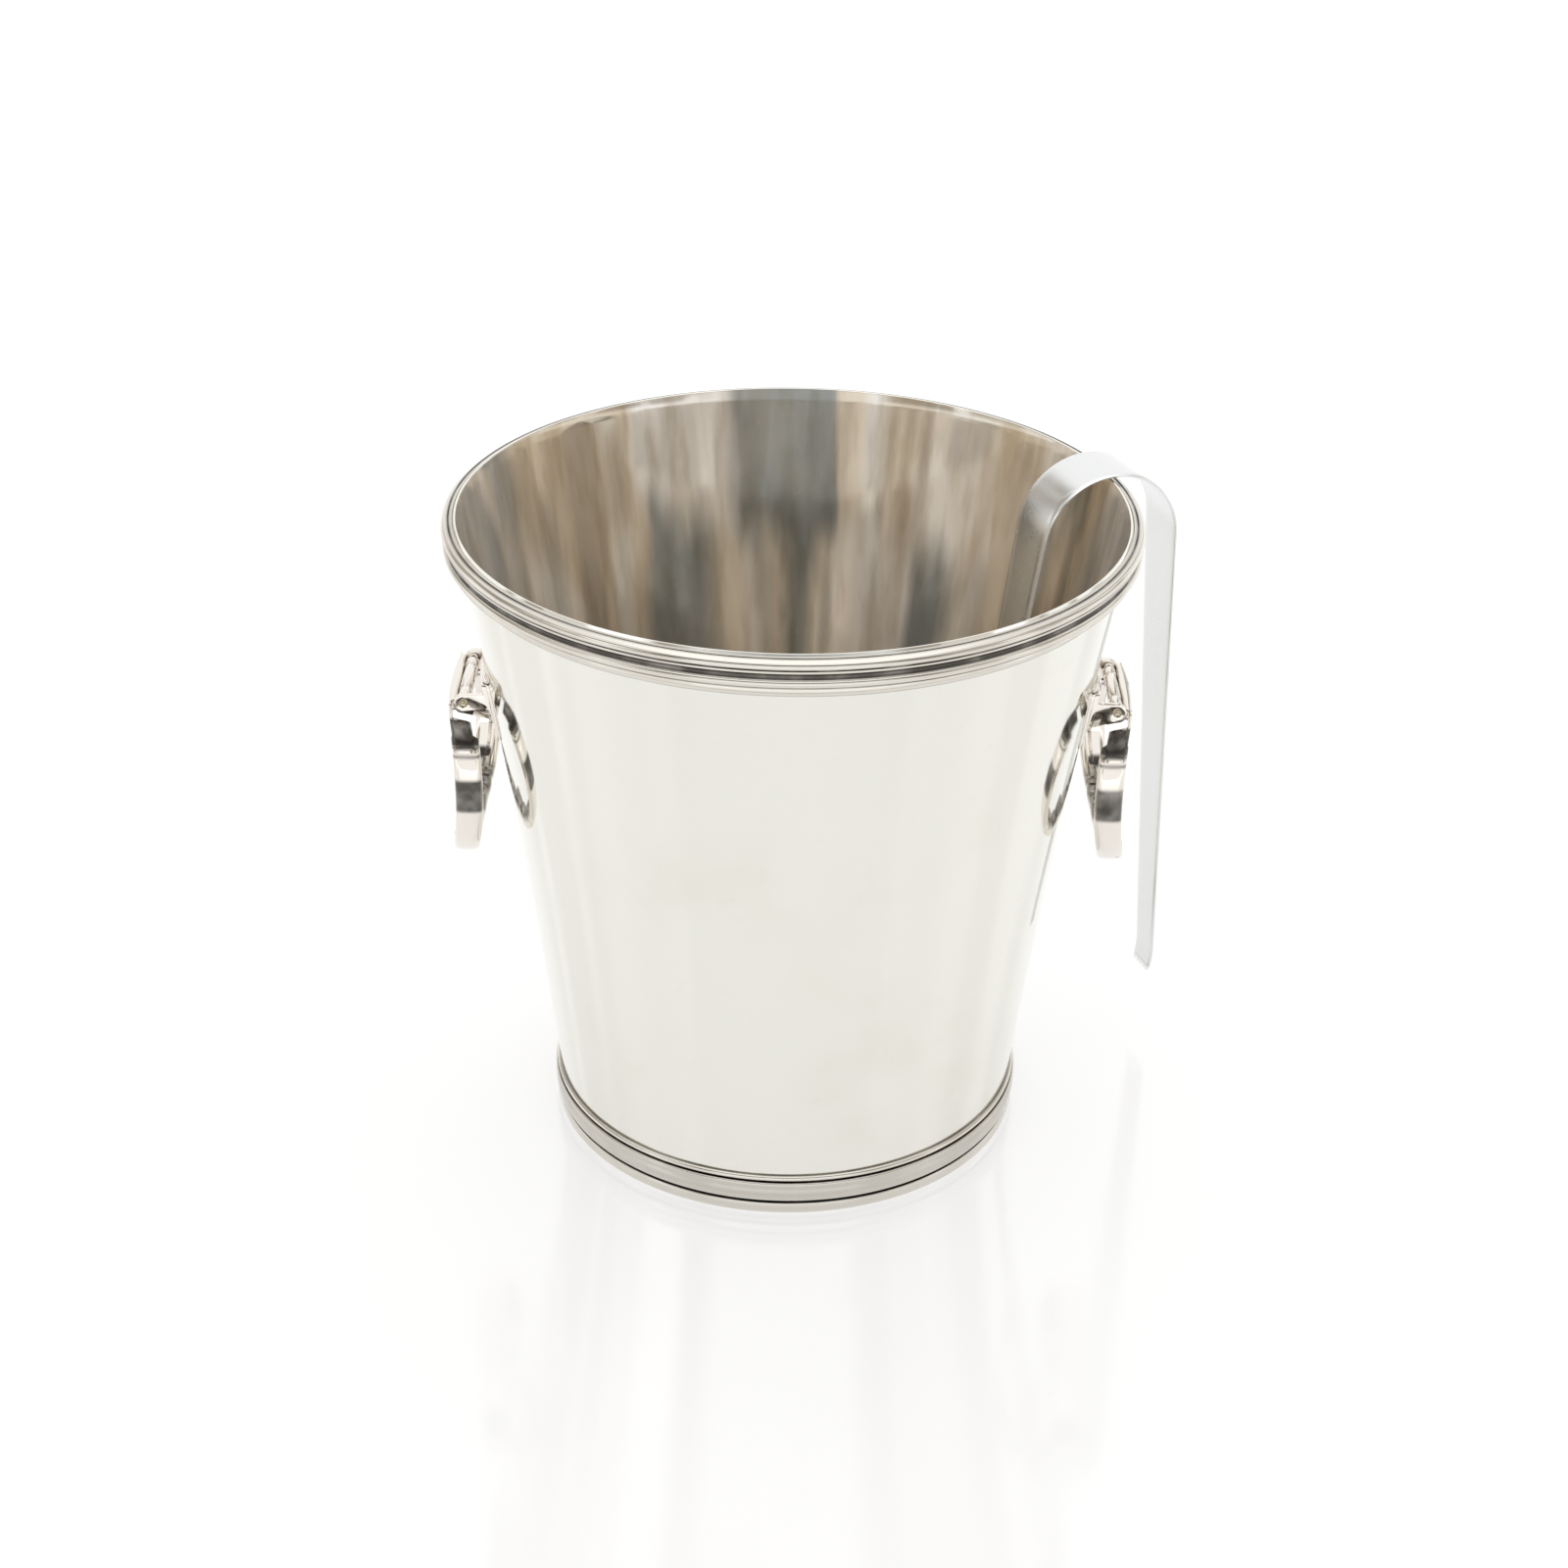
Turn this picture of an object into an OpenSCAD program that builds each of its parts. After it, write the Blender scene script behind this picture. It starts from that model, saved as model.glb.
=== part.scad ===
// Champagne bucket: a flared round vessel with drawn mouldings at the rim and the foot,
// two hinged drop-ring handles, and a pair of ice tongs hooked over the rim.
// Origin: centre of the foot's underside. +Z is up, the handles are on +X and -X.

/* [Vessel] */
// Height of the vessel from the table to the rim
vessel_h = 203.9; // [190:0.1:220]
// Thickness of the spun wall
wall_t = 1.3; // [0.9:0.1:1.8]
// Outer radius of the wall just above the foot mouldings
wall_r_low = 73.5; // [71:0.1:76]
// Height of that lower station
wall_z_low = 14; // [12:0.5:18]
// Outer radius of the wall at mid height
wall_r_mid = 84.6; // [83:0.1:86]
// Height of the middle station
wall_z_mid = 99; // [90:1:110]
// Outer radius of the wall just under the rim mouldings
wall_r_top = 98.95; // [97:0.05:101]
// Height of the upper station
wall_z_top = 190; // [185:1:195]
// Height of the wall's lower edge, which sits in the foot ring
wall_foot_z = 2; // [1:0.1:2.5]
// Height of the underside of the bottom disc
bottom_z = 4; // [3:0.1:6]
// Thickness of the bottom disc
bottom_t = 1.4; // [1:0.1:2]

/* [Rim mouldings] */
// Drop of the sloping rim face across its width
rim_slope_drop = 1.1; // [0.6:0.1:1.6]
// Radius at which the sloping rim face meets its fine groove
rim_groove_r = 102.4; // [102:0.1:103]
// Radius of the rounded outer edge of the top wire
rim_edge_r = 1.75; // [1.4:0.05:2]
// Outermost radius of the rim
rim_outer_r = 104.7; // [104:0.1:106]
// Height of the half-round belt under the cavetto
belt_z = 196.1; // [195.8:0.1:196.4]
// Height of the lower edge of the rim mouldings
rim_low_z = 190.9; // [190:0.1:191.5]

/* [Foot mouldings] */
// Outer radius of the plinth that stands on the table
plinth_r = 74.5; // [74:0.1:76]
// Height of the plinth
plinth_h = 3.6; // [3:0.1:4]
// Inner radius of the plinth's flat underside
plinth_inner_r = 68.5; // [64:0.5:70]
// Outer radius of the broad band over the plinth
band_r = 75.1; // [74.6:0.1:76]
// Height of the underside of the broad band
band_z = 4.6; // [4.2:0.1:5]
// Height of the broad band itself
band_h = 6.6; // [6:0.1:7]
// Height of the middle of the upper bead
bead_z = 12.4; // [12.2:0.1:12.8]
// Radius of the bead's section
bead_r = 1.0; // [0.8:0.1:1.1]

/* [Hinge] */
// Distance of each hinge pin from the vessel's axis
pin_x = 99; // [98.5:0.1:100]
// Height of the hinge pins
pin_z = 144.8; // [140:0.1:150]
// Radius of a hinge pin
pin_r = 1.2; // [1:0.05:1.3]
// Radial running clearance of the barrel on its pin
pin_play = 0.05; // [0.03:0.01:0.1]
// Outer radius of the hinge barrel
barrel_r = 2.1; // [2:0.05:2.3]
// Half length of the hinge barrel with its end collars
barrel_half = 14.5; // [13:0.1:15]
// Half length of the middle tube of the barrel
tube_half = 8; // [6:0.5:10]
// Inner face of each bracket ear, from the middle
ear_in = 14.7; // [14.6:0.1:15.3]
// Thickness of a bracket ear
ear_t = 2; // [1.6:0.1:2.2]
// Radius of an ear's rounded end
ear_r = 2.9; // [2.7:0.1:3]
// Half height of an ear where it meets the plate
ear_root_half = 4.2; // [3.5:0.1:5]
// Half width of the thin backplate
plate_half_w = 22; // [20:0.5:24]
// Half height of the backplate
plate_half_h = 11; // [9:0.5:12]
// Corner radius of the backplate
plate_corner = 4; // [2:0.5:6]
// Thickness of the backplate
plate_t = 0.9; // [0.7:0.1:1.2]
// Thickness of the bracket's web on the backplate
web_t = 1.2; // [1:0.1:1.6]

/* [Drop-ring handle] */
// Radius of the ring's outer outline
ring_r = 33; // [31:0.5:33]
// Radius of the ring's inner outline
ring_hole_r = 28; // [27:0.5:29]
// Drop of the ring's centre below the pin
ring_drop = 22; // [20:0.5:24]
// Radius of the ring's outer face seen from above
ring_plan_r = 115; // [110:1:120]
// Distance of the ring's outer face from the vessel's axis
ring_face_x = 104.8; // [104.5:0.1:105.5]
// Depth of the ring's band from its outer to its inner face
ring_depth = 8; // [7:0.1:8.5]
// Drop of the step where the band becomes thinner, below the pin
ring_step_drop = 6.3; // [5:0.1:8]
// Outer setback of the thinner shoulders
shoulder_back = 0.3; // [0:0.1:0.5]
// Inner setback of the thinner shoulders
shoulder_in = 1.5; // [1:0.1:2]
// Top of the ring's bar above the pin
bar_top = 1.5; // [1:0.1:1.8]
// Underside of the ring's bar below the pin
bar_low = 4; // [3.5:0.1:4.5]
// Top of the shoulders beside the bar, below the pin
shoulder_drop = 3.3; // [2.8:0.1:3.8]
// Underside of the shoulders, below the pin
shoulder_low = 6; // [5.5:0.1:6]

/* [Tongs] */
// Direction of the tongs' plane, measured from the right handle
tongs_turn = 20.3; // [20:0.1:24]
// Thickness of the strip
strip_t = 1.4; // [1.2:0.1:1.6]
// Outer radius of the bow
bow_r = 23.2; // [22.8:0.1:24]
// Distance of the bow's centre from the vessel's axis
bow_x = 101; // [100.5:0.1:101.5]
// Gap between the rim and the bow's underside
hook_gap = 0.3; // [0.2:0.05:0.5]
// Width of the strip at the bow
strip_w = 21; // [18:0.5:22]
// Width of the arms at the claws
claw_w = 10.8; // [9:0.1:12]
// Height of the outer arm's lower end
claw_z = 19; // [18:1:34]
// Outward lean of the outer arm, in degrees
outer_lean = 2.4; // [1.5:0.1:3]
// Inward lean of the inner arm, in degrees
inner_lean = 8.5; // [7:0.5:10]
// Length of each claw
claw_l = 9; // [7:0.5:10]
// Number of teeth on a claw
teeth = 5; // [4:1:6]

/* [Hidden] */
$fn = 96;
fn_turn = 180;  // facets of the turned pieces
stations = 26;  // stations up the flared wall
eps = 0.01;
far = 130;      // wider than every piece of the vessel

// Centre of the circle through three points of an outline
function arc_centre(a, b, c) =
    let (
        d = 2 * (a.x * (b.y - c.y) + b.x * (c.y - a.y) + c.x * (a.y - b.y)),
        aa = a.x * a.x + a.y * a.y,
        bb = b.x * b.x + b.y * b.y,
        cc = c.x * c.x + c.y * c.y
    ) [
        (aa * (b.y - c.y) + bb * (c.y - a.y) + cc * (a.y - b.y)) / d,
        (aa * (c.x - b.x) + bb * (a.x - c.x) + cc * (b.x - a.x)) / d
    ];

wall_low = [wall_r_low, wall_z_low];
wall_mid = [wall_r_mid, wall_z_mid];
wall_top = [wall_r_top, wall_z_top];
flare_c = arc_centre(wall_low, wall_mid, wall_top);
flare_r = norm(flare_c - wall_low);

// Outer radius of the wall at the height z
function flare(z) = flare_c.x - sqrt(flare_r * flare_r - (z - flare_c.y) ^ 2);

mouth_r = flare(vessel_h) - wall_t;
rim_groove_z = vessel_h - rim_slope_drop;
rim_edge_c = [rim_outer_r - rim_edge_r, rim_groove_z - rim_edge_r + 0.05];
undercut_z = 200.5;  // height of the dark line under the top wire
belt_r = 1.2;        // radius of the half-round belt's section
belt_out = 104.4;    // outermost radius of the belt
quirk = 0.2;         // half height of the fine gaps between mouldings
cavetto_r = 0.9;     // radius of the hollow between the ridge and the belt
groove_r = 0.3;      // radius of the rim's fine groove

head_h = 0.9;        // height of a rivet's dome over the ear
head_sink = 0.3;     // depth of the round recess around a rivet's head
head_sink_r = 2.2;   // radius of that recess
pin_fit = 0.02;      // clearance of the pin in the ears

ring_plan_x = ring_face_x - ring_plan_r;
ear_gap = 0.35;      // gap between the ring's bar and the ears' rounded ends
saddle_x = pin_x + 1.6;
collar_gap = 0.15;   // seam between the tube and each end collar

bow_z = vessel_h + hook_gap - (bow_r - strip_t);
tooth_h = 1.6;       // height of a claw's teeth
claw_curl = 14;      // inward turn of a claw, in degrees

// ---------------------------------------------------------------- vessel

// Half section of everything inside the wall's outer surface, moved outward by grow
// and carried straight on by over past both ends
module inside_flare(grow, over = 0) {
    step = (vessel_h - wall_foot_z) / stations;
    polygon([
        [0, wall_foot_z - over],
        [flare(wall_foot_z) + grow, wall_foot_z - over],
        for (i = [0 : stations]) [flare(wall_foot_z + i * step) + grow, wall_foot_z + i * step],
        [flare(vessel_h) + grow, vessel_h + over],
        [0, vessel_h + over]
    ]);
}

// A ring turned from the half section given as children, seated on the wall
module seated_ring() {
    rotate_extrude($fn = fn_turn)
        difference() {
            children();
            inside_flare(0, 1);
        }
}

// Half section of the wedge above the sloping rim face
module above_rim_face() {
    polygon([[mouth_r, vessel_h], [rim_groove_r, rim_groove_z], [far, rim_groove_z],
             [far, vessel_h + 2], [mouth_r, vessel_h + 2]]);
}

// The spun, flared wall
module body_shell() {
    color("gainsboro")
        rotate_extrude($fn = fn_turn)
            difference() {
                inside_flare(0);
                inside_flare(-wall_t, 1);
                above_rim_face();
            }
}

// The flat bottom, soldered inside the wall
module bottom_disc() {
    color("lightgray")
        rotate_extrude($fn = fn_turn)
            intersection() {
                inside_flare(-wall_t);
                translate([0, bottom_z]) square([far, bottom_t]);
            }
}

// The rim's top wire: a sloping face, a fine groove and a rounded outer edge
module rim_top_wire() {
    z0 = undercut_z + quirk;
    color("whitesmoke")
        seated_ring()
            difference() {
                union() {
                    translate([mouth_r - 4, z0]) square([rim_edge_c.x - mouth_r + 4, vessel_h - z0]);
                    intersection() {
                        translate(rim_edge_c) circle(r = rim_edge_r);
                        translate([mouth_r, z0]) square([10, 5]);
                    }
                }
                above_rim_face();
                translate([rim_groove_r, rim_groove_z]) circle(r = groove_r);
            }
}

// The rim's middle moulding: a thin ridge, a hollow and a half-round belt
module rim_cavetto_wire() {
    z0 = belt_z - belt_r;
    z1 = undercut_z - quirk;
    ridge_h = 1.2;
    ridge_out = rim_outer_r - 0.5;
    belt_c = [belt_out - belt_r, belt_z];
    hollow_z = (belt_z + belt_r + z1 - ridge_h) / 2;
    color("silver")
        seated_ring()
            union() {
                difference() {
                    translate([mouth_r - 4, z0]) square([belt_c.x - mouth_r + 4.2, z1 - z0]);
                    translate([belt_c.x + cavetto_r, hollow_z]) circle(r = cavetto_r);
                }
                translate([mouth_r, z1 - ridge_h]) square([ridge_out - mouth_r - ridge_h / 2, ridge_h]);
                translate([ridge_out - ridge_h / 2, z1 - ridge_h / 2]) circle(r = ridge_h / 2);
                translate(belt_c) circle(r = belt_r);
            }
}

// The rim's lowest moulding: a small square band over a hollow slope to the wall
module rim_lower_fillet() {
    z1 = belt_z - belt_r - quirk;
    band_out = 103;
    band_low = z1 - 1.5;
    slope_r = 3.2;
    color("gainsboro")
        seated_ring()
            union() {
                translate([mouth_r - 6, band_low]) square([band_out - mouth_r + 6, z1 - band_low]);
                difference() {
                    translate([mouth_r - 6, rim_low_z]) square([8.5, band_low - rim_low_z + eps]);
                    translate([mouth_r + slope_r - 0.3, rim_low_z - 1.1]) circle(r = slope_r);
                }
            }
}

// The plinth ring that stands on the table and carries the wall's lower edge
module foot_ring() {
    color("gainsboro")
        rotate_extrude($fn = fn_turn)
            difference() {
                translate([plinth_inner_r, 0]) square([plinth_r - plinth_inner_r, plinth_h]);
                inside_flare(0);
            }
}

// The broad, slightly rounded band around the foot
module base_broad_band() {
    round_r = band_h * 1.4;
    color("whitesmoke")
        seated_ring()
            intersection() {
                translate([plinth_inner_r, band_z]) square([band_r - plinth_inner_r, band_h]);
                translate([band_r - round_r, band_z + band_h / 2]) circle(r = round_r);
            }
}

// The small bead over the broad band
module base_bead() {
    z0 = bead_z - bead_r;
    out = plinth_r + 0.1;
    color("whitesmoke")
        seated_ring()
            union() {
                translate([plinth_inner_r, z0]) square([out - bead_r - plinth_inner_r, 2 * bead_r]);
                translate([out - bead_r, bead_z]) circle(r = bead_r);
            }
}

// ---------------------------------------------------------------- hinge, on +X

// Moves its children to the pin: X outward, Y along the pin, Z up
module at_pin() {
    translate([pin_x, 0, pin_z]) children();
}

// Extrudes an outline given in Y and Z along X, between x0 and x1
module along_x(x0, x1) {
    translate([x0, 0, 0]) rotate([90, 0, 90]) linear_extrude(x1 - x0) children();
}

// Extrudes an outline given in X and Z along Y, between y0 and y1
module along_y(y0, y1) {
    translate([0, y1, 0]) rotate([90, 0, 0]) linear_extrude(y1 - y0) children();
}

// A round bar along Y, centred on the pin
module pin_bar(r, y0, y1) {
    at_pin() translate([0, y1, 0]) rotate([90, 0, 0]) cylinder(r = r, h = y1 - y0);
}

// A rectangle with round corners, centred on the origin
module round_rect(half_w, half_h, corner) {
    square([2 * half_w, 2 * (half_h - corner)], center = true);
    square([2 * (half_w - corner), 2 * half_h], center = true);
    for (sx = [-1, 1], sz = [-1, 1])
        translate([sx * (half_w - corner), sz * (half_h - corner)]) circle(r = corner);
}

// Solid inside the wall's outer surface, moved outward by grow
module flare_solid(grow) {
    rotate_extrude($fn = fn_turn) inside_flare(grow);
}

// The thin plate soldered to the wall
module side_backplate() {
    color("gainsboro")
        difference() {
            intersection() {
                flare_solid(plate_t);
                translate([0, 0, pin_z]) along_x(pin_x - 30, pin_x)
                    round_rect(plate_half_w, plate_half_h, plate_corner);
            }
            flare_solid(0);
        }
}

// Outline of an ear in X and Z: a rounded end that widens towards the plate
module ear_outline() {
    reach = 12;
    union() {
        circle(r = ear_r);
        difference() {
            polygon([[0, -ear_r], [0, ear_r], [-4, ear_r], [-reach, ear_root_half + 3],
                     [-reach, -ear_root_half - 1.5]]);
            translate([-4.2, ear_r + 5.1]) circle(r = 5.1);
        }
    }
}

// The U-shaped bracket: a web on the backplate and two ears that hold the pin
module side_bracket() {
    web_half_h = 7;
    color("whitesmoke")
        difference() {
            union() {
                intersection() {
                    flare_solid(plate_t + web_t);
                    translate([0, 0, pin_z]) along_x(pin_x - 30, pin_x)
                        round_rect(ear_in + ear_t, web_half_h, 2);
                }
                at_pin() along_y(ear_in, ear_in + ear_t) ear_outline();
                at_pin() along_y(-ear_in - ear_t, -ear_in) ear_outline();
            }
            flare_solid(plate_t);
            pin_bar(pin_r + pin_fit, -ear_in - ear_t - 1, ear_in + ear_t + 1);
            pin_bar(head_sink_r, ear_in + ear_t - head_sink, ear_in + ear_t + 1);
            pin_bar(head_sink_r, -ear_in - ear_t - 1, -ear_in - ear_t + head_sink);
        }
}

// The riveted hinge pin with a domed head at each end
module side_pin() {
    half = ear_in + ear_t;
    dome_r = (pin_r * pin_r + head_h * head_h) / (2 * head_h);
    color("darkgray") {
        union() {
            pin_bar(pin_r, -half, half);
            for (s = [-1, 1])
                intersection() {
                    at_pin() translate([0, s * (half + head_h - dome_r), 0]) sphere(r = dome_r);
                    pin_bar(pin_r, s > 0 ? half - eps : -half - head_h,
                            s > 0 ? half + head_h : -half + eps);
                }
        }
    }
}

// ---------------------------------------------------------------- drop ring, on +X

// Solid between two upright cylinders that share the ring's plan curve
module plan_shell(back, front) {
    translate([ring_plan_x, 0, pin_z - 70])
        difference() {
            cylinder(r = ring_plan_r - front, h = 90, $fn = fn_turn);
            translate([0, 0, -1]) cylinder(r = ring_plan_r - ring_depth + back, h = 92, $fn = fn_turn);
        }
}

// Outline of the cast ornament on the ring's inner edge, at the bottom
module ring_ornament() {
    inner_low = -ring_drop - ring_hole_r;
    for (s = [-1, 1]) {
        translate([s * 18, inner_low + 5.6]) circle(r = 2);
        translate([s * 12, inner_low + 0.3]) circle(r = 3.4);
        translate([s * 1.7, inner_low + 1.7]) circle(r = 1.9);
    }
    polygon([[-2.9, inner_low - 1], [-2.6, inner_low + 2.8], [0, inner_low + 7],
             [2.6, inner_low + 2.8], [2.9, inner_low - 1]]);
}

// Area below a raised middle: up to top for |Y| < half, then sloping down to side
module below_crest(half, slope, top, side) {
    polygon([[-50, -80], [50, -80], [50, side], [half + slope, side], [half, top],
             [-half, top], [-half - slope, side], [-50, side]]);
}

// Outline of the whole ring in Y and Z, from the pin
module ring_outline() {
    intersection() {
        translate([0, -ring_drop]) circle(r = ring_r);
        union() {
            difference() {
                below_crest(18.4, 2, bar_top, -shoulder_drop);
                intersection() {
                    translate([0, -ring_drop]) circle(r = ring_hole_r);
                    below_crest(15, 4, -bar_low, -shoulder_low);
                }
            }
            ring_ornament();
        }
    }
}

// The cast drop ring, curved in plan like the vessel
module side_ring() {
    bar_x = pin_x + ear_r + ear_gap;
    notch_half = ear_in + ear_t + head_h + 0.4;
    color("silver")
        difference() {
            union() {
                intersection() {
                    at_pin() along_x(-20, 20)
                        intersection() {
                            ring_outline();
                            translate([-50, -80]) square([100, 80 - ring_step_drop]);
                        }
                    plan_shell(0, 0);
                }
                intersection() {
                    at_pin() along_x(-20, 20)
                        difference() {
                            ring_outline();
                            translate([-50, -80]) square([100, 80 - ring_step_drop - eps]);
                        }
                    plan_shell(shoulder_in, shoulder_back);
                }
            }
            // room for the ears and the rivets
            translate([0, -notch_half, pin_z - bar_low - 1])
                cube([bar_x, notch_half - barrel_half + 0.1, 20]);
            translate([0, barrel_half - 0.1, pin_z - bar_low - 1])
                cube([bar_x, notch_half - barrel_half + 0.1, 20]);
            // saddle for the barrel
            translate([0, -barrel_half, pin_z - bar_low - 1])
                cube([saddle_x, 2 * barrel_half, 20]);
            pin_bar(barrel_r, -barrel_half - 1, barrel_half + 1);
        }
}

// A length of tube on the pin, between y0 and y1
module barrel_part(y0, y1) {
    difference() {
        pin_bar(barrel_r, y0, y1);
        pin_bar(pin_r + pin_play, y0 - 1, y1 + 1);
    }
}

// The middle tube of the barrel, soldered to the ring's bar
module side_tube() {
    color("silver") barrel_part(-tube_half, tube_half);
}

// The two end collars of the barrel
module side_collars() {
    color("lightgray") {
        barrel_part(tube_half + collar_gap, barrel_half);
        barrel_part(-barrel_half, -tube_half - collar_gap);
    }
}

// The left side is the right side mirrored
module on_left() {
    mirror([1, 0, 0]) children();
}

module left_backplate() { on_left() side_backplate(); }
module right_backplate() { side_backplate(); }
module left_bracket() { on_left() side_bracket(); }
module right_bracket() { side_bracket(); }
module left_hinge_pin() { on_left() side_pin(); }
module right_hinge_pin() { side_pin(); }
module left_handle_ring() { on_left() side_ring(); }
module right_handle_ring() { side_ring(); }
module left_handle_tube() { on_left() side_tube(); }
module right_handle_tube() { side_tube(); }
module left_handle_collars() { on_left() side_collars(); }
module right_handle_collars() { side_collars(); }

// ---------------------------------------------------------------- tongs

// Moves its children to the bow's centre: X across the rim, Y along the strip's width
module at_bow() {
    rotate([0, 0, tongs_turn]) translate([bow_x, 0, bow_z]) children();
}

arm_l = (bow_z + bow_r * sin(outer_lean) - claw_z - claw_l) / cos(outer_lean);

// The bent bow that hooks over the rim
module tongs_bow() {
    edge = 3 * bow_r;
    color("silver")
        at_bow() along_y(-strip_w / 2, strip_w / 2)
            intersection() {
                difference() {
                    circle(r = bow_r, $fn = fn_turn);
                    circle(r = bow_r - strip_t, $fn = fn_turn);
                }
                polygon([[0, 0], [edge * cos(outer_lean), edge * sin(outer_lean)],
                         [edge, edge], [-edge, edge],
                         [-edge * cos(inner_lean), edge * sin(inner_lean)]]);
            }
}

// Moves its children to one end of the bow, with Z down the arm and X away from the other arm
module at_arm(side, lean) {
    at_bow()
        mirror([side < 0 ? 1 : 0, 0, 0])
            rotate([0, -lean, 0]) translate([bow_r, 0, 0])
                mirror([0, 0, 1]) children();
}

// Half width of an arm at the distance l down from the bow
function arm_half_w(l) = (strip_w + (claw_w - strip_w) * l / (arm_l + claw_l)) / 2;

// A flat arm that narrows from the bow to the claw
module arm(side, lean) {
    at_arm(side, lean)
        intersection() {
            translate([-strip_t, -strip_w, 0]) cube([strip_t, 2 * strip_w, arm_l]);
            along_x(-strip_t - 1, 1)
                polygon([[-arm_half_w(0), -1], [arm_half_w(0), -1],
                         [arm_half_w(arm_l), arm_l + eps], [-arm_half_w(arm_l), arm_l + eps]]);
        }
}

// A claw turned inward at the end of an arm, with a row of teeth
module claw(side, lean) {
    w0 = arm_half_w(arm_l);
    w1 = arm_half_w(arm_l + claw_l);
    pitch = 2 * w1 / teeth;
    at_arm(side, lean)
        translate([-strip_t, 0, arm_l])
            intersection() {
                rotate([0, -claw_curl, 0])
                    translate([0, -strip_w, -3]) cube([strip_t, 2 * strip_w, claw_l + 3]);
                along_x(-8, 8)
                    union() {
                        polygon([[-w0, 0], [w0, 0], [w1, claw_l - tooth_h], [-w1, claw_l - tooth_h]]);
                        for (i = [0 : teeth - 1])
                            translate([-w1 + i * pitch, claw_l - tooth_h - eps])
                                polygon([[0, 0], [pitch, 0], [pitch / 2, tooth_h]]);
                    }
            }
}

module tongs_outer_arm() { color("silver") arm(1, outer_lean); }
module tongs_inner_arm() { color("silver") arm(-1, inner_lean); }
module tongs_outer_claw() { color("darkgray") claw(1, outer_lean); }
module tongs_inner_claw() { color("darkgray") claw(-1, inner_lean); }

body_shell();
bottom_disc();
rim_top_wire();
rim_cavetto_wire();
rim_lower_fillet();
foot_ring();
base_broad_band();
base_bead();
left_backplate();
left_bracket();
left_hinge_pin();
right_backplate();
right_bracket();
right_hinge_pin();
left_handle_ring();
left_handle_tube();
left_handle_collars();
right_handle_ring();
right_handle_tube();
right_handle_collars();
tongs_bow();
tongs_inner_arm();
tongs_outer_arm();
tongs_inner_claw();
tongs_outer_claw();
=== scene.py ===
"""Looks of the silver champagne bucket: wall, mouldings, drop-ring handles, hinges and tongs.

Every length in the classes is in millimetres and becomes metres in the meshes.
"""

import logging
import math
from dataclasses import dataclass, field
from enum import Enum
from typing import Callable, Iterable, Sequence

import bmesh
import bpy
from mathutils import Matrix, Vector


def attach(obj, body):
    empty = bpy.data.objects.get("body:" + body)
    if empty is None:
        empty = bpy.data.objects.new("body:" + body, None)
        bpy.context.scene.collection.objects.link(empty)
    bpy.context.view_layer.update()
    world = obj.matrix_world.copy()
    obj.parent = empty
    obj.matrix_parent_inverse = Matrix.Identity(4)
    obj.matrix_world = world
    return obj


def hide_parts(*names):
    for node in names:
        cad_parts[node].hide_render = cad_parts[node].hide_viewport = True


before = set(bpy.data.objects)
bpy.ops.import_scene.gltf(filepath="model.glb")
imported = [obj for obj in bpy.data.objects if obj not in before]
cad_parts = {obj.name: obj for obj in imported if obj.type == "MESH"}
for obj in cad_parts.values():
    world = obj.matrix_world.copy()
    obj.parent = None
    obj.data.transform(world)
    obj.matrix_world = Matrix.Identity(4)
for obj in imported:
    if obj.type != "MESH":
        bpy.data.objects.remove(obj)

LOG = logging.getLogger("bucket")
MM = 0.001

# Points closer than this, in metres, are one point: in turned pieces and in copies of CAD nodes.
WELD = 1e-7
CAD_WELD = 2e-6

Point2 = tuple[float, float]
Colour = tuple[float, float, float, float]
Shade = Callable[[float, float], float]
Socket = bpy.types.NodeSocket
Piece = bpy.types.Object

# Near-black colour of the painted shade in the quirks and of the painted dark reflections on the
# rings.
PAINTED_SHADE_COLOUR: Colour = (0.035, 0.03, 0.026, 1)
FILM_ROUGHNESS = 0.25


# ------------------------------------------------------------------ sides

class Side(Enum):
    """The two sides that carry a handle, as the sign of X."""

    LEFT = -1
    RIGHT = 1

    @property
    def word(self) -> str:
        """The side's name as the nodes spell it."""
        return self.name.lower()


# ------------------------------------------------------------------ node helpers

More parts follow.
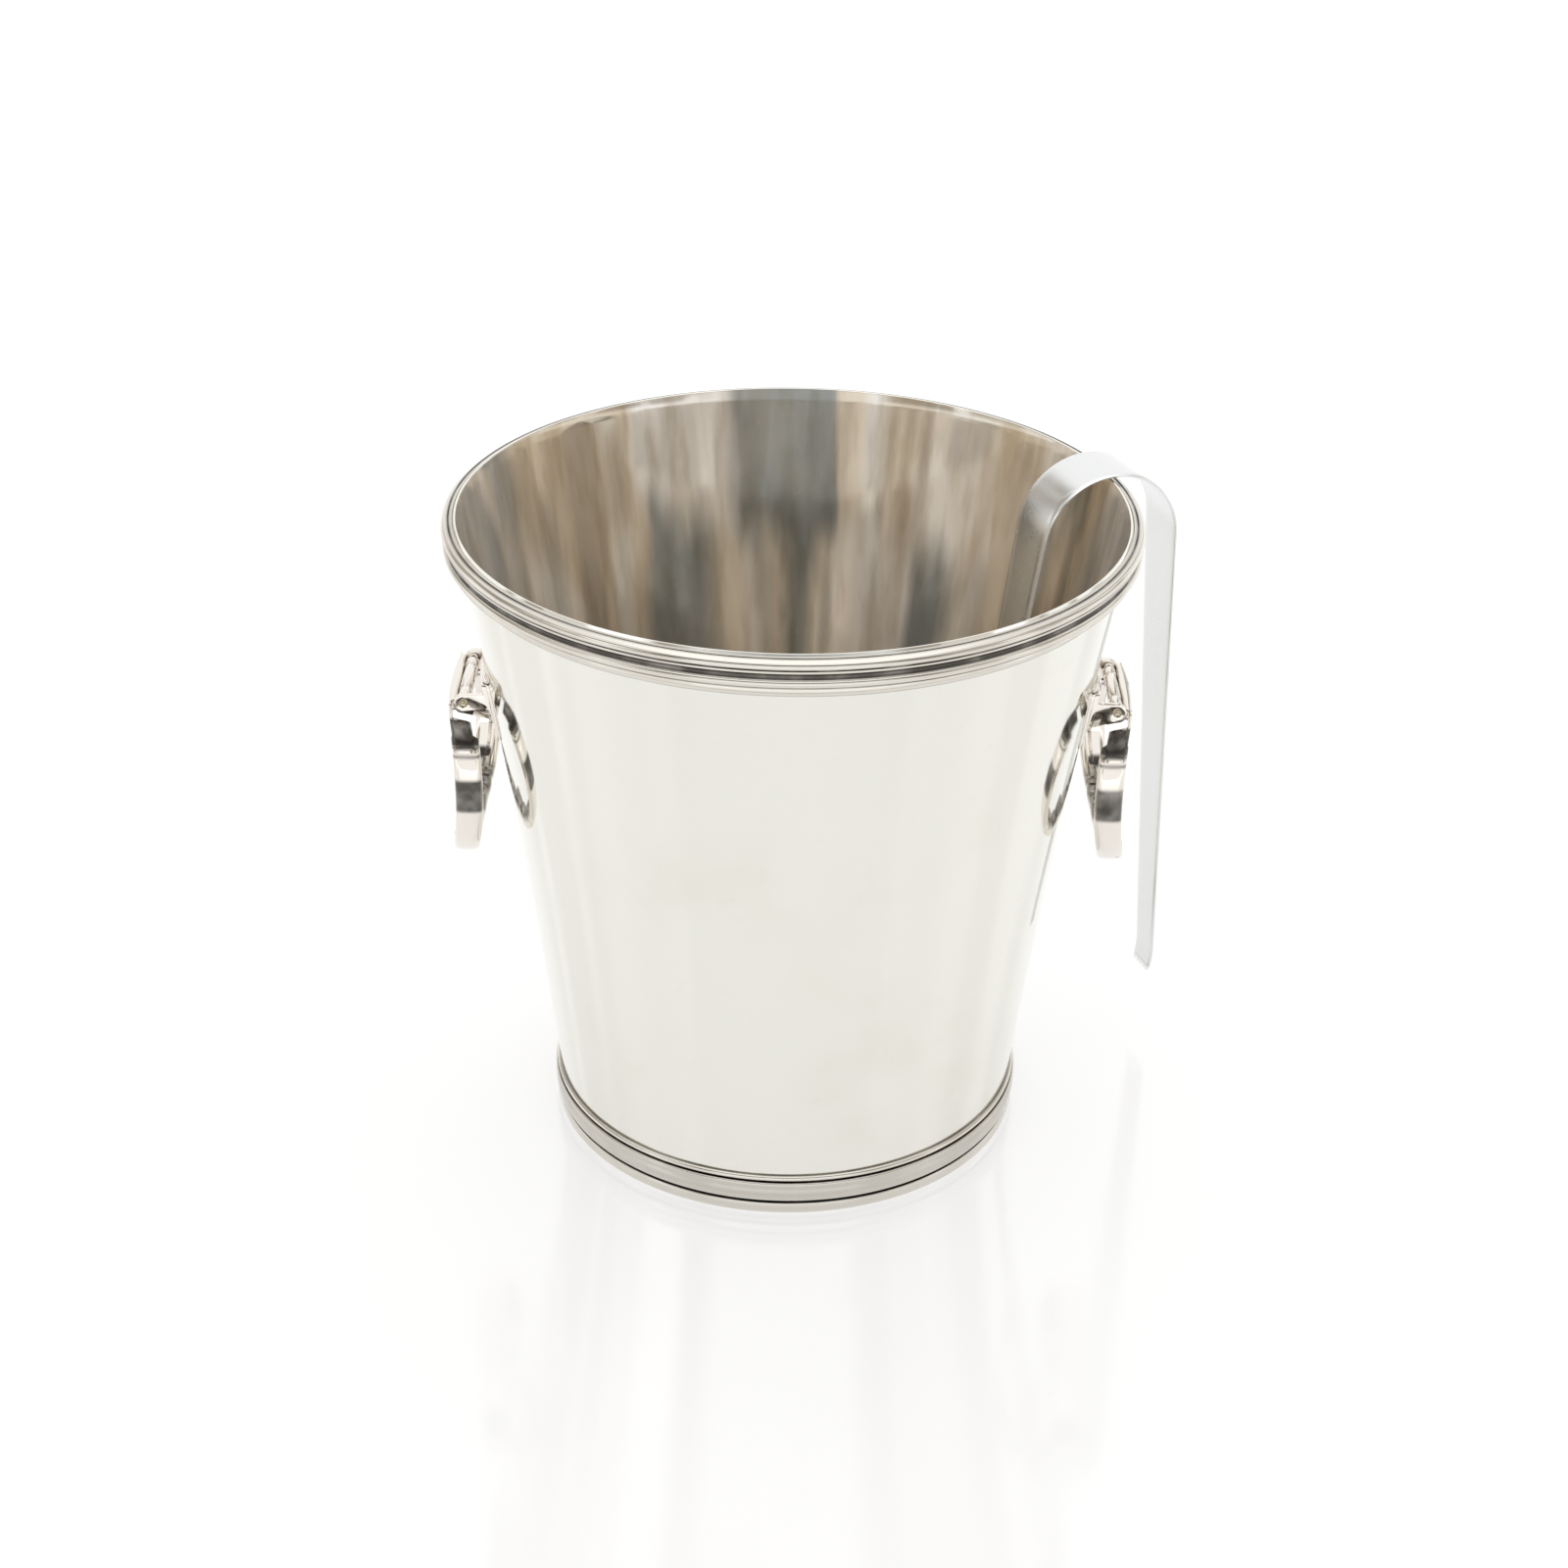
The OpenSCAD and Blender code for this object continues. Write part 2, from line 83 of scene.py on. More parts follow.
class Net:
    """A short way to add and wire nodes in one tree."""

    def __init__(self, tree: bpy.types.NodeTree) -> None:
        """Keeps the tree that the nodes go into."""
        self.tree = tree

    def add(self, kind: str, props: dict | None = None, **inputs: object) -> bpy.types.Node:
        """Adds one node.

        Args:
            kind: The node's type name.
            props: Attributes to set on the node itself.
            inputs: Values or output sockets by input name, with _ for a space.

        Returns:
            The new node.
        """
        node = self.tree.nodes.new(kind)
        for key, value in (props or {}).items():
            setattr(node, key, value)
        for key, value in inputs.items():
            self.feed(node, key.replace("_", " "), value)
        return node

    def feed(self, node: bpy.types.Node, name: str | int, value: object) -> None:
        """Links an output socket to an input, or sets the input's value."""
        socket = node.inputs[name]
        if isinstance(value, Socket):
            self.tree.links.new(value, socket)
        else:
            socket.default_value = value

    def math(self, operation: str, a: object, b: object = 0.0, clamp: bool = False) -> Socket:
        """Adds a maths node and returns its value."""
        node = self.tree.nodes.new("ShaderNodeMath")
        node.operation = operation
        node.use_clamp = clamp
        self.feed(node, 0, a)
        self.feed(node, 1, b)
        return node.outputs[0]

    def ramp(self, value: object, low: float, high: float) -> Socket:
        """Maps low..high smoothly to 0..1."""
        node = self.tree.nodes.new("ShaderNodeMapRange")
        node.interpolation_type = "SMOOTHSTEP"
        self.feed(node, "Value", value)
        node.inputs["From Min"].default_value = low
        node.inputs["From Max"].default_value = high
        return node.outputs["Result"]

    def mix(self, factor: object, a: object, b: object, blend: str = "MIX") -> Socket:
        """Mixes two colours and returns the colour."""
        node = self.tree.nodes.new("ShaderNodeMix")
        node.data_type = "RGBA"
        node.blend_type = blend
        self.feed(node, "Factor", factor)
        self.feed(node, 6, a)
        self.feed(node, 7, b)
        return node.outputs[2]

    def noise(self, vector: object, scale: float, detail: float = 2.0,
              rough: float = 0.5) -> Socket:
        """Adds a noise texture and returns its value."""
        node = self.add("ShaderNodeTexNoise", Vector=vector, Scale=scale, Detail=detail,
                        Roughness=rough)
        return node.outputs["Fac"]

    def stretched(self, vector: object, scale: Sequence[float],
                  turn: Sequence[float] = (0, 0, 0)) -> Socket:
        """Scales and turns a coordinate."""
        node = self.tree.nodes.new("ShaderNodeMapping")
        self.feed(node, "Vector", vector)
        node.inputs["Scale"].default_value = scale
        node.inputs["Rotation"].default_value = turn
        return node.outputs[0]


def shader_group(name: str, inputs: Iterable[tuple[str, str, float | tuple]],
                 outputs: Iterable[tuple[str, str]]) -> Net:
    """Starts a shader node group.

    Args:
        name: The group's name.
        inputs: Name, kind and default of each input.
        outputs: Name and kind of each output.

    Returns:
        The group's net, with its input and output nodes added.
    """
    tree = bpy.data.node_groups.new(name, "ShaderNodeTree")
    for label, kind, default in inputs:
        socket = tree.interface.new_socket(label, in_out="INPUT", socket_type=kind)
        if kind != "NodeSocketVector":
            socket.default_value = default
    for label, kind in outputs:
        tree.interface.new_socket(label, in_out="OUTPUT", socket_type=kind)
    net = Net(tree)
    net.add("NodeGroupInput")
    net.add("NodeGroupOutput")
    return net


def ends(net: Net) -> tuple[bpy.types.Node, bpy.types.Node]:
    """The group's input and output nodes."""
    return net.tree.nodes["Group Input"], net.tree.nodes["Group Output"]


def handling_marks() -> bpy.types.NodeTree:
    """Builds the group of marks that polishing and handling leave on silver.

    Returns:
        A group that gives a roughness and a height for a bump.
    """
    net = shader_group(
        "handling_marks",
        [("Vector", "NodeSocketVector", 0.0), ("Roughness", "NodeSocketFloat", 0.12),
         ("Smears", "NodeSocketFloat", 0.1), ("Scratches", "NodeSocketFloat", 0.3)],
        [("Roughness", "NodeSocketFloat"), ("Height", "NodeSocketFloat")],
    )
    start, end = ends(net)
    vector = start.outputs["Vector"]
    cloud = net.ramp(net.noise(vector, 28.0, 4.0, 0.6), 0.45, 0.72)
    prints = net.stretched(vector, (1, 1, 0.6), (0.3, 0.5, 0))
    finger = net.ramp(net.noise(prints, 120.0, 3.0, 0.6), 0.52, 0.70)
    smear = net.math("MAXIMUM", cloud, net.math("MULTIPLY", finger, 0.6))
    hair_a = net.noise(net.stretched(vector, (900, 900, 26), (0.5, 0.2, 0.4)), 1.0, 1.0)
    hair_b = net.noise(net.stretched(vector, (26, 900, 900), (0.2, 0.9, 0.3)), 1.0, 1.0)
    lines = net.math("ADD", net.ramp(hair_a, 0.68, 0.74), net.ramp(hair_b, 0.70, 0.76))
    scratch = net.math("MULTIPLY", lines, start.outputs["Scratches"])
    smeared = net.math("MULTIPLY", smear, start.outputs["Smears"])
    rough = net.math("ADD", start.outputs["Roughness"], smeared)
    rough = net.math("ADD", rough, net.math("MULTIPLY", scratch, 0.12), clamp=True)
    net.feed(end, "Roughness", rough)
    net.feed(end, "Height", net.math("SUBTRACT", net.noise(vector, 260.0, 2.0), scratch))
    return net.tree


def tarnish() -> bpy.types.NodeTree:
    """Builds the group that browns silver in thin cloudy tarnish patches and lays painted shade and
    painted dark reflection where the hollow value is high.

    Returns:
        A group that turns a clean colour into the tarnished one, with its painted shade.
    """
    net = shader_group(
        "tarnish",
        [("Vector", "NodeSocketVector", 0.0), ("Colour", "NodeSocketColor", (0.8, 0.8, 0.8, 1)),
         ("Film", "NodeSocketColor", (0.5, 0.4, 0.3, 1)), ("Patches", "NodeSocketFloat", 0.1),
         ("Hollow", "NodeSocketFloat", 0.0)],
        [("Colour", "NodeSocketColor"), ("Mask", "NodeSocketFloat")],
    )
    start, end = ends(net)
    vector = start.outputs["Vector"]
    patch = net.ramp(net.noise(vector, 16.0, 3.0, 0.55), 0.50, 0.75)
    speck = net.ramp(net.noise(vector, 240.0, 2.0), 0.62, 0.76)
    speck_strength = net.math("MULTIPLY", start.outputs["Patches"], 0.35)
    patch = net.math("ADD", net.math("MULTIPLY", patch, start.outputs["Patches"]),
                     net.math("MULTIPLY", speck, speck_strength))
    # Painted shade from the Hollow input, broken up a little by noise.
    broken = net.ramp(net.noise(vector, 90.0, 3.0), 0.25, 0.62)
    uneven = net.math("ADD", net.math("MULTIPLY", broken, 0.35), 0.65)
    hollow = net.math("MULTIPLY", start.outputs["Hollow"], uneven)
    light = net.mix(patch, start.outputs["Colour"], start.outputs["Film"])
    net.feed(end, "Colour", net.mix(hollow, light, PAINTED_SHADE_COLOUR))
    net.feed(end, "Mask", net.math("MAXIMUM", patch, hollow, clamp=True))
    return net.tree


# ------------------------------------------------------------------ finishes

@dataclass(frozen=True)
class Silver:
    """One silver finish: its colour, polish and wear.

    Attributes:
        name: Name of the material.
        slot: Material slot of the record that the finish belongs to; not used.
        colour: Clean colour of the metal.
        film: Colour of the thin tarnish.
        roughness: Roughness of the clean polish.
        smears: Roughness that smears add.
        scratches: Strength of the hairline scratches.
        patches: Strength of the tarnish patches.
        bump: Depth of the polish's unevenness, in millimetres.
    """

    name: str
    slot: str
    colour: Colour
    film: Colour = (0.52, 0.42, 0.31, 1)
    roughness: float = 0.12
    smears: float = 0.1
    scratches: float = 0.4
    patches: float = 0.08
    bump: float = 0.004

    def material(self) -> bpy.types.Material:
        """Builds the material once and returns it."""
        known = bpy.data.materials.get(self.name)
        if known:
            return known
        material = bpy.data.materials.new(self.name)
        material.use_nodes = True
        net = Net(material.node_tree)
        shader = material.node_tree.nodes["Principled BSDF"]
        net.feed(shader, "Metallic", self.metallic(net))
        where = net.add("ShaderNodeTexCoord").outputs["Object"]
        marks = net.add("ShaderNodeGroup", {"node_tree": GROUPS["marks"]}, Vector=where,
                        Roughness=self.roughness, Smears=self.smears, Scratches=self.scratches)
        # The hollow attribute carries painted shade and painted dark reflection.
        hollow = net.add("ShaderNodeAttribute", {"attribute_name": "hollow"}).outputs["Fac"]
        film = net.add("ShaderNodeGroup", {"node_tree": GROUPS["tarnish"]}, Vector=where,
                       Colour=self.clean_colour(net, where), Film=self.film,
                       Patches=self.patches, Hollow=hollow)
        dulled = net.math("MULTIPLY", film.outputs["Mask"], FILM_ROUGHNESS)
        rough = net.math("ADD", marks.outputs["Roughness"], dulled, clamp=True)
        net.feed(shader, "Base Color", film.outputs["Colour"])
        net.feed(shader, "Roughness", rough)
        bump = net.add("ShaderNodeBump", Height=marks.outputs["Height"],
                       Distance=self.bump * MM, Strength=1.0)
        net.feed(shader, "Normal", bump.outputs[0])
        return material

    def clean_colour(self, net: Net, where: Socket) -> object:
        """The colour before tarnish: a plain one here."""
        return self.colour

    def metallic(self, net: Net) -> object:
        """How metallic the surface is: wholly here."""
        return 1.0

    def dress(self, piece: Piece) -> None:
        """Gives the piece this finish in its first material slot."""
        piece.data.materials.clear()
        piece.data.materials.append(self.material())


@dataclass(frozen=True)
class PaintedReflectionSilver(Silver):
    """Silver that is clean outside and has upright streaks of painted reflection inside.

    Attributes:
        high: Azimuth in degrees and colour of each painted reflection streak near the mouth, going
            round from +X.
        low: The same further down.
        change: Height between the two, in millimetres.
        blend: Half of the height over which the one becomes the other.
        wander: How far that height wanders, in millimetres.
        drift: How far a streak wanders sideways, as a share of a whole turn.
        fine: Strength of the fine painted reflection streaks over the broad ones.
        fine_colour: Their colour.
        veil: Share of the inside's light that is scattered instead of mirrored, so that the painted
            reflection streaks show.
    """

    high: tuple[tuple[float, Colour], ...] = ()
    low: tuple[tuple[float, Colour], ...] = ()
    change: float = 158.0
    blend: float = 9.0
    wander: float = 60.0
    drift: float = 0.030
    fine: float = 0.8
    fine_colour: Colour = (0.80, 0.76, 0.70, 1)
    veil: float = 0.35

    @staticmethod
    def inner_side(net: Net) -> Socket:
        """1 on the wall's inner side and 0 outside."""
        return net.add("ShaderNodeAttribute", {"attribute_name": "inside"}).outputs["Fac"]

    @staticmethod
    def round_ramp(net: Net, turn: Socket, stops: Sequence[tuple[float, Colour]]) -> Socket:
        """Makes a ramp of painted reflection streaks from a turn between 0 and 1 and returns its
        colour.
        """
        ramp = net.add("ShaderNodeValToRGB", Fac=turn)
        ramp.color_ramp.interpolation = "EASE"
        elements = ramp.color_ramp.elements
        elements[0].position, elements[0].color = stops[0][0] / 360, stops[0][1]
        elements[1].position, elements[1].color = stops[-1][0] / 360, stops[-1][1]
        for azimuth, colour in stops[1:-1]:
            elements.new(azimuth / 360).color = colour
        return ramp.outputs["Color"]

    def clean_colour(self, net: Net, where: Socket) -> Socket:
        """Mixes the painted reflection streaks in where the piece's inside attribute is 1."""
        parts = net.add("ShaderNodeSeparateXYZ", Vector=where)
        drift = net.noise(net.stretched(where, (30, 30, 9)), 1.0, 3.0)
        turn = net.math("ARCTAN2", parts.outputs["Y"], parts.outputs["X"])
        turn = net.math("DIVIDE", turn, 2 * math.pi)
        drift = net.math("MULTIPLY", net.math("SUBTRACT", drift, 0.5), self.drift)
        turn = net.math("FRACT", net.math("ADD", net.math("ADD", turn, drift), 1.0))
        wander = net.noise(net.stretched(where, (45, 45, 8)), 1.0, 2.0)
        wander = net.math("MULTIPLY", wander, self.wander * MM)
        wander = net.math("SUBTRACT", wander, self.wander / 2 * MM)
        level = net.math("ADD", parts.outputs["Z"], wander)
        upper = net.ramp(level, (self.change - self.blend) * MM, (self.change + self.blend) * MM)
        streaked = net.mix(upper, self.round_ramp(net, turn, self.low),
                           self.round_ramp(net, turn, self.high))
        fine = net.ramp(net.noise(net.stretched(where, (190, 190, 4)), 1.0, 3.0), 0.40, 0.66)
        fine = net.math("MULTIPLY", fine, self.fine)
        streaked = net.mix(fine, streaked, self.fine_colour, "MULTIPLY")
        return net.mix(self.inner_side(net), self.colour, streaked)

    def metallic(self, net: Net) -> object:
        """Wholly metallic outside, less so on the inside, where the painted reflection streaks lie.
        """
        veiled = net.math("MULTIPLY", self.inner_side(net), self.veil)
        return net.math("SUBTRACT", 1.0, veiled)


GROUPS = {"marks": handling_marks(), "tarnish": tarnish()}

# Tones of the painted reflection streaks on the wall's inside.
TAN: Colour = (0.79, 0.705, 0.58, 1)
PALE: Colour = (0.89, 0.845, 0.78, 1)
BROWN: Colour = (0.69, 0.605, 0.485, 1)
SLATE: Colour = (0.30, 0.31, 0.295, 1)
CLEAN: Colour = (0.95, 0.92, 0.88, 1)

WALL = PaintedReflectionSilver(
    "wall_silver", "silver_outside", (0.855, 0.845, 0.79, 1), film=(0.72, 0.65, 0.55, 1),
    roughness=0.06, smears=0.10, scratches=0.35, patches=0.20, bump=0.004,
    # Painted reflection streaks of the inside, near the mouth and lower down.
    high=((2, CLEAN), (20, TAN), (34, PALE), (46, TAN), (59, PALE), (66, BROWN), (70, TAN),
          (73, CLEAN), (76, TAN), (80, TAN), (82, SLATE), (90, SLATE), (101, SLATE), (104, PALE),
          (110, PALE), (121, CLEAN), (124, BROWN), (132, TAN), (147, TAN), (151, BROWN),
          (153, TAN), (160, CLEAN), (178, CLEAN), (358, CLEAN)),
    low=((2, CLEAN), (20, BROWN), (34, BROWN), (46, TAN), (50, PALE), (57, SLATE), (62, SLATE),
         (65, PALE), (79, PALE), (84, TAN), (88, SLATE), (94, BROWN), (99, PALE), (103, TAN),
         (112, SLATE), (119, SLATE), (123, BROWN), (127, PALE), (133, TAN), (138, BROWN),
         (141, PALE), (160, PALE), (178, CLEAN), (358, CLEAN)),
)
BOTTOM = Silver("bottom_silver", "silver_inside", (0.80, 0.77, 0.71, 1), roughness=0.18,
                patches=0.25)
MOULDING = Silver("moulding_silver", "silver_mouldings", (0.72, 0.69, 0.63, 1),
                  film=(0.50, 0.42, 0.34, 1), roughness=0.12, smears=0.12, patches=0.30,
                  bump=0.006)
CAST = Silver("cast_polished", "cast_silver", (0.84, 0.795, 0.74, 1), roughness=0.05,
              smears=0.05, scratches=0.25, patches=0.10, bump=0.006)
RIVET = Silver("rivet_aged", "rivet_metal", (0.60, 0.54, 0.42, 1), roughness=0.24, patches=0.35,
               bump=0.02)
SATIN = Silver("tongs_satin", "tongs_silver", (0.81, 0.82, 0.82, 1), film=(0.55, 0.50, 0.40, 1),
               roughness=0.20, smears=0.08, scratches=0.5, patches=0.05)
PIT = Silver("pit_dark", "silver_mouldings", (0.05, 0.045, 0.04, 1), roughness=0.6, patches=0.3)


# ------------------------------------------------------------------ geometry helpers

def smooth_min(a: float, b: float, power: float = 14.0) -> float:
    """The smaller of two lengths, with a rounded change-over."""
    return (a ** -power + b ** -power) ** (-1.0 / power)


def smooth_step(x: float, low: float, high: float) -> float:
    """Goes smoothly from 0 at low to 1 at high."""
    t = min(1.0, max(0.0, (x - low) / (high - low)))
    return t * t * (3 - 2 * t)


def hump(x: float, centre: float, width: float) -> float:
    """A smooth hump that is 1 at its centre and fades to 0 on both sides."""
    return math.exp(-((x - centre) / width) ** 2)


def arc(centre: Point2, radius: float, start: float, stop: float,
        count: int = 10) -> list[Point2]:
    """Points along an arc from start to stop, in degrees."""
    steps = [start + (stop - start) * i / count for i in range(count + 1)]
    return [(centre[0] + radius * math.cos(math.radians(a)),
             centre[1] + radius * math.sin(math.radians(a))) for a in steps]


def new_piece(name: str, mesh: bpy.types.Mesh) -> Piece:
    """Links a mesh into the scene as a piece at the origin."""
    piece = bpy.data.objects.new(name, mesh)
    bpy.context.scene.collection.objects.link(piece)
    return piece


def finish_shading(mesh: bpy.types.Mesh, sharp: float = 38.0) -> None:
    """Smooths the mesh except along edges sharper than the angle, in degrees."""
    mesh.shade_smooth()
    mesh.set_sharp_from_angle(angle=math.radians(sharp))


def outward(mesh: bpy.types.Mesh) -> None:
    """Merges doubles and makes every face of a closed mesh point outwards."""
    shape = bmesh.new()
    shape.from_mesh(mesh)
    bmesh.ops.remove_doubles(shape, verts=shape.verts, dist=WELD)
    bmesh.ops.dissolve_degenerate(shape, edges=shape.edges, dist=1e-8)
    bmesh.ops.recalc_face_normals(shape, faces=shape.faces)
    shape.to_mesh(mesh)
    shape.free()


def grid_piece(name: str, rows: Sequence[Sequence[Vector]], closed: bool,
               hollow: Sequence[float] = ()) -> Piece:
    """Skins a run of closed sections.

    Args:
        name: Name of the piece.
        rows: The sections, each a closed ring of points in metres.
        closed: Whether the last section joins the first; otherwise both ends get a cap.
        hollow: Darkening of each point, section by section.

    Returns:
        The piece.
    """
    shape = bmesh.new()
    grid = [[shape.verts.new(p) for p in row] for row in rows]
    count = len(grid[0])
    for a, b in zip(grid, grid[1:] + (grid[:1] if closed else [])):
        for i in range(count):
            shape.faces.new((a[i], a[(i + 1) % count], b[(i + 1) % count], b[i]))
    if not closed:
        shape.faces.new(grid[0])
        shape.faces.new(grid[-1])
    bmesh.ops.recalc_face_normals(shape, faces=shape.faces)
    mesh = bpy.data.meshes.new(name)
    shape.to_mesh(mesh)
    shape.free()
    if hollow:
        mesh.attributes.new("hollow", "FLOAT", "POINT").data.foreach_set("value", hollow)
    finish_shading(mesh)
    return new_piece(name, mesh)


def baked_mesh(piece: Piece) -> bpy.types.Mesh:
    """The mesh of a piece with its modifiers applied."""
    return bpy.data.meshes.new_from_object(
        piece.evaluated_get(bpy.context.evaluated_depsgraph_get()))


def settle(piece: Piece, finish: Silver, body: str, *nodes: str) -> None:
    """Dresses a finished piece and ties it to its body.

    Args:
        piece: The piece.
        finish: Its silver.
        body: The body that it rides on.
        nodes: The CAD nodes that it stands for, if any.
    """
    finish.dress(piece)
    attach(piece, body)
    if nodes:
        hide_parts(*nodes)
    LOG.info("%s: %d faces", piece.name, len(piece.data.polygons))


def softened(node: str, width: float) -> Piece:
    """Copies a CAD node and rounds its edges a little.

    Args:
        node: The CAD node.
        width: Width of the rounding in millimetres.

    Returns:
        The piece, with its bevel applied.
    """
    name = f"{node}_soft"
    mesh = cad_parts[node].data.copy()
    mesh.name = name
    shape = bmesh.new()
    shape.from_mesh(mesh)
    bmesh.ops.remove_doubles(shape, verts=shape.verts, dist=CAD_WELD)
    bmesh.ops.dissolve_limit(shape, angle_limit=math.radians(1.0), verts=shape.verts,
                             edges=shape.edges)
    shape.to_mesh(mesh)
    shape.free()
    piece = new_piece(name, mesh)
    bevel = piece.modifiers.new("edge", "BEVEL")
    bevel.width = width * MM
    bevel.segments = 2
    bevel.limit_method = "ANGLE"
    bevel.angle_limit = math.radians(35)
    baked = baked_mesh(piece)
    piece.modifiers.clear()
    piece.data = baked
    baked.name = name
    finish_shading(baked, 30)
    return piece


class Tree:
    """A Geometry Nodes tree with a geometry input and output, built node by node."""

    def __init__(self, name: str, inputs: Iterable[tuple[str, str]]) -> None:
        """Starts the tree.

        Args:
            name: The tree's name.
            inputs: Name and socket type of each named input after the geometry.
        """
        self.tree = bpy.data.node_groups.new(name, "GeometryNodeTree")
        sockets = self.tree.interface
        sockets.new_socket("Geometry", in_out="INPUT", socket_type="NodeSocketGeometry")
        for label, kind in inputs:
            sockets.new_socket(label, in_out="INPUT", socket_type=kind)
        sockets.new_socket("Geometry", in_out="OUTPUT", socket_type="NodeSocketGeometry")
        self.net = Net(self.tree)
        self.start = self.net.add("NodeGroupInput")
        self.end = self.net.add("NodeGroupOutput")

    def close(self, geometry: Socket) -> None:
        """Ends the tree in Realize Instances and Set Material."""
        real = self.net.add("GeometryNodeRealizeInstances", Geometry=geometry)
        dressed = self.net.add("GeometryNodeSetMaterial", Geometry=real.outputs[0],
                               Material=self.start.outputs["Material"])
        self.net.feed(self.end, "Geometry", dressed.outputs[0])

    def run(self, name: str, source: bpy.types.Mesh, **values: object) -> Piece:
        """Runs the tree on a source mesh and keeps the result as a plain mesh.

        Args:
            name: Name of the new piece.
            source: The mesh that goes into the tree.
            values: Values of the named inputs, with _ for a space.

        Returns:
            The finished piece.
        """
        piece = new_piece(name, source)
        modifier = piece.modifiers.new("rule", "NODES")
        modifier.node_group = self.tree
        for item in self.tree.interface.items_tree:
            key = item.name.replace(" ", "_")
            if item.item_type == "SOCKET" and item.in_out == "INPUT" and key in values:
                modifier[item.identifier] = values[key]
        bpy.context.view_layer.update()
        mesh = baked_mesh(piece)
        piece.modifiers.clear()
        piece.data = mesh
        mesh.name = name
        outward(mesh)
        finish_shading(mesh)
        return piece


def turning_tree() -> Tree:
    """Builds the tree that turns a half section about the vessel's axis.

    The source's points are the half section in X and Z. Its hollow and inside values go round
    with it.

    Returns:
        The tree, with inputs Segments and Material.
    """
    tree = Tree("turn_section", [("Segments", "NodeSocketInt"), ("Material", "NodeSocketMaterial")])
    net, start = tree.net, tree.start
    size = net.add("GeometryNodeAttributeDomainSize", Geometry=start.outputs["Geometry"])
    count = size.outputs["Point Count"]
    columns = net.math("ADD", start.outputs["Segments"], 1.0)
    grid = net.add("GeometryNodeMeshGrid", Vertices_X=columns, Vertices_Y=count)
    index = net.add("GeometryNodeInputIndex").outputs[0]
    column = net.math("FLOOR", net.math("DIVIDE", net.math("ADD", index, 0.25), count))
    row = net.math("SUBTRACT", index, net.math("MULTIPLY", column, count))
    angle = net.math("DIVIDE", net.math("MULTIPLY", column, 2 * math.pi), start.outputs["Segments"])

    def sampled(kind: str, value: Socket) -> Socket:
        """Reads a value of the half section at this row."""
        node = net.add("GeometryNodeSampleIndex", {"data_type": kind},
                       Geometry=start.outputs["Geometry"])
        net.feed(node, "Value", value)
        net.feed(node, "Index", row)
        return node.outputs[0]

    place = sampled("FLOAT_VECTOR", net.add("GeometryNodeInputPosition").outputs[0])
    turned = net.add("ShaderNodeVectorRotate", {"rotation_type": "Z_AXIS"}, Vector=place,
                     Angle=angle)
    shaped = net.add("GeometryNodeSetPosition", Geometry=grid.outputs["Mesh"],
                     Position=turned.outputs[0]).outputs[0]
    for label in ("hollow", "inside"):
        named = net.add("GeometryNodeInputNamedAttribute", {"data_type": "FLOAT"}, Name=label)
        value = sampled("FLOAT", named.outputs[0])
        stored = net.add("GeometryNodeStoreNamedAttribute",
                         {"data_type": "FLOAT", "domain": "POINT"},
                         Geometry=shaped, Name=label, Value=value)
        shaped = stored.outputs[0]
    merged = net.add("GeometryNodeMergeByDistance", Geometry=shaped, Distance=1e-6)
    tree.close(merged.outputs[0])
    return tree


def pitting_tree() -> Tree:
    """Builds the tree that scatters small pits around a circle.

    Returns:
        The tree, with inputs Radius, Height, Count, Share, Spread, Size, Seed and Material.
    """
    tree = Tree("pit_ring", [("Radius", "NodeSocketFloat"), ("Height", "NodeSocketFloat"),
                             ("Count", "NodeSocketInt"), ("Share", "NodeSocketFloat"),
                             ("Spread", "NodeSocketFloat"), ("Size", "NodeSocketFloat"),
                             ("Seed", "NodeSocketInt"), ("Material", "NodeSocketMaterial")])
    net, start = tree.net, tree.start
    circle = net.add("GeometryNodeMeshCircle", Vertices=start.outputs["Count"],
                     Radius=start.outputs["Radius"])
    place = net.add("GeometryNodeInputPosition").outputs[0]
    stray = net.add("FunctionNodeRandomValue", {"data_type": "FLOAT"})
    net.feed(stray, 2, net.math("SUBTRACT", 1.0, start.outputs["Spread"]))
    net.feed(stray, 3, net.math("ADD", 1.0, start.outputs["Spread"]))
    net.feed(stray, "Seed", start.outputs["Seed"])
    moved = net.add("ShaderNodeVectorMath", {"operation": "SCALE"})
    net.feed(moved, 0, place)
    net.feed(moved, "Scale", stray.outputs[1])
    lift = net.add("ShaderNodeCombineXYZ", Z=start.outputs["Height"])
    points = net.add("GeometryNodeSetPosition", Geometry=circle.outputs[0],
                     Position=moved.outputs[0], Offset=lift.outputs[0])
    chance = net.add("FunctionNodeRandomValue", {"data_type": "BOOLEAN"})
    net.feed(chance, "Probability", start.outputs["Share"])
    net.feed(chance, "Seed", net.math("ADD", start.outputs["Seed"], 7.0))
    grain = net.add("FunctionNodeRandomValue", {"data_type": "FLOAT"})
    net.feed(grain, 2, 0.45)
    net.feed(grain, 3, 1.0)
    net.feed(grain, "Seed", net.math("ADD", start.outputs["Seed"], 3.0))
    dot = net.add("GeometryNodeMeshIcoSphere", Radius=start.outputs["Size"], Subdivisions=1)
    scale = net.add("ShaderNodeCombineXYZ", X=grain.outputs[1], Y=grain.outputs[1], Z=0.3)
    scattered = net.add("GeometryNodeInstanceOnPoints", Points=points.outputs[0],
                        Instance=dot.outputs[0], Selection=chance.outputs[3],
                        Scale=scale.outputs[0])
    tree.close(scattered.outputs[0])
    return tree


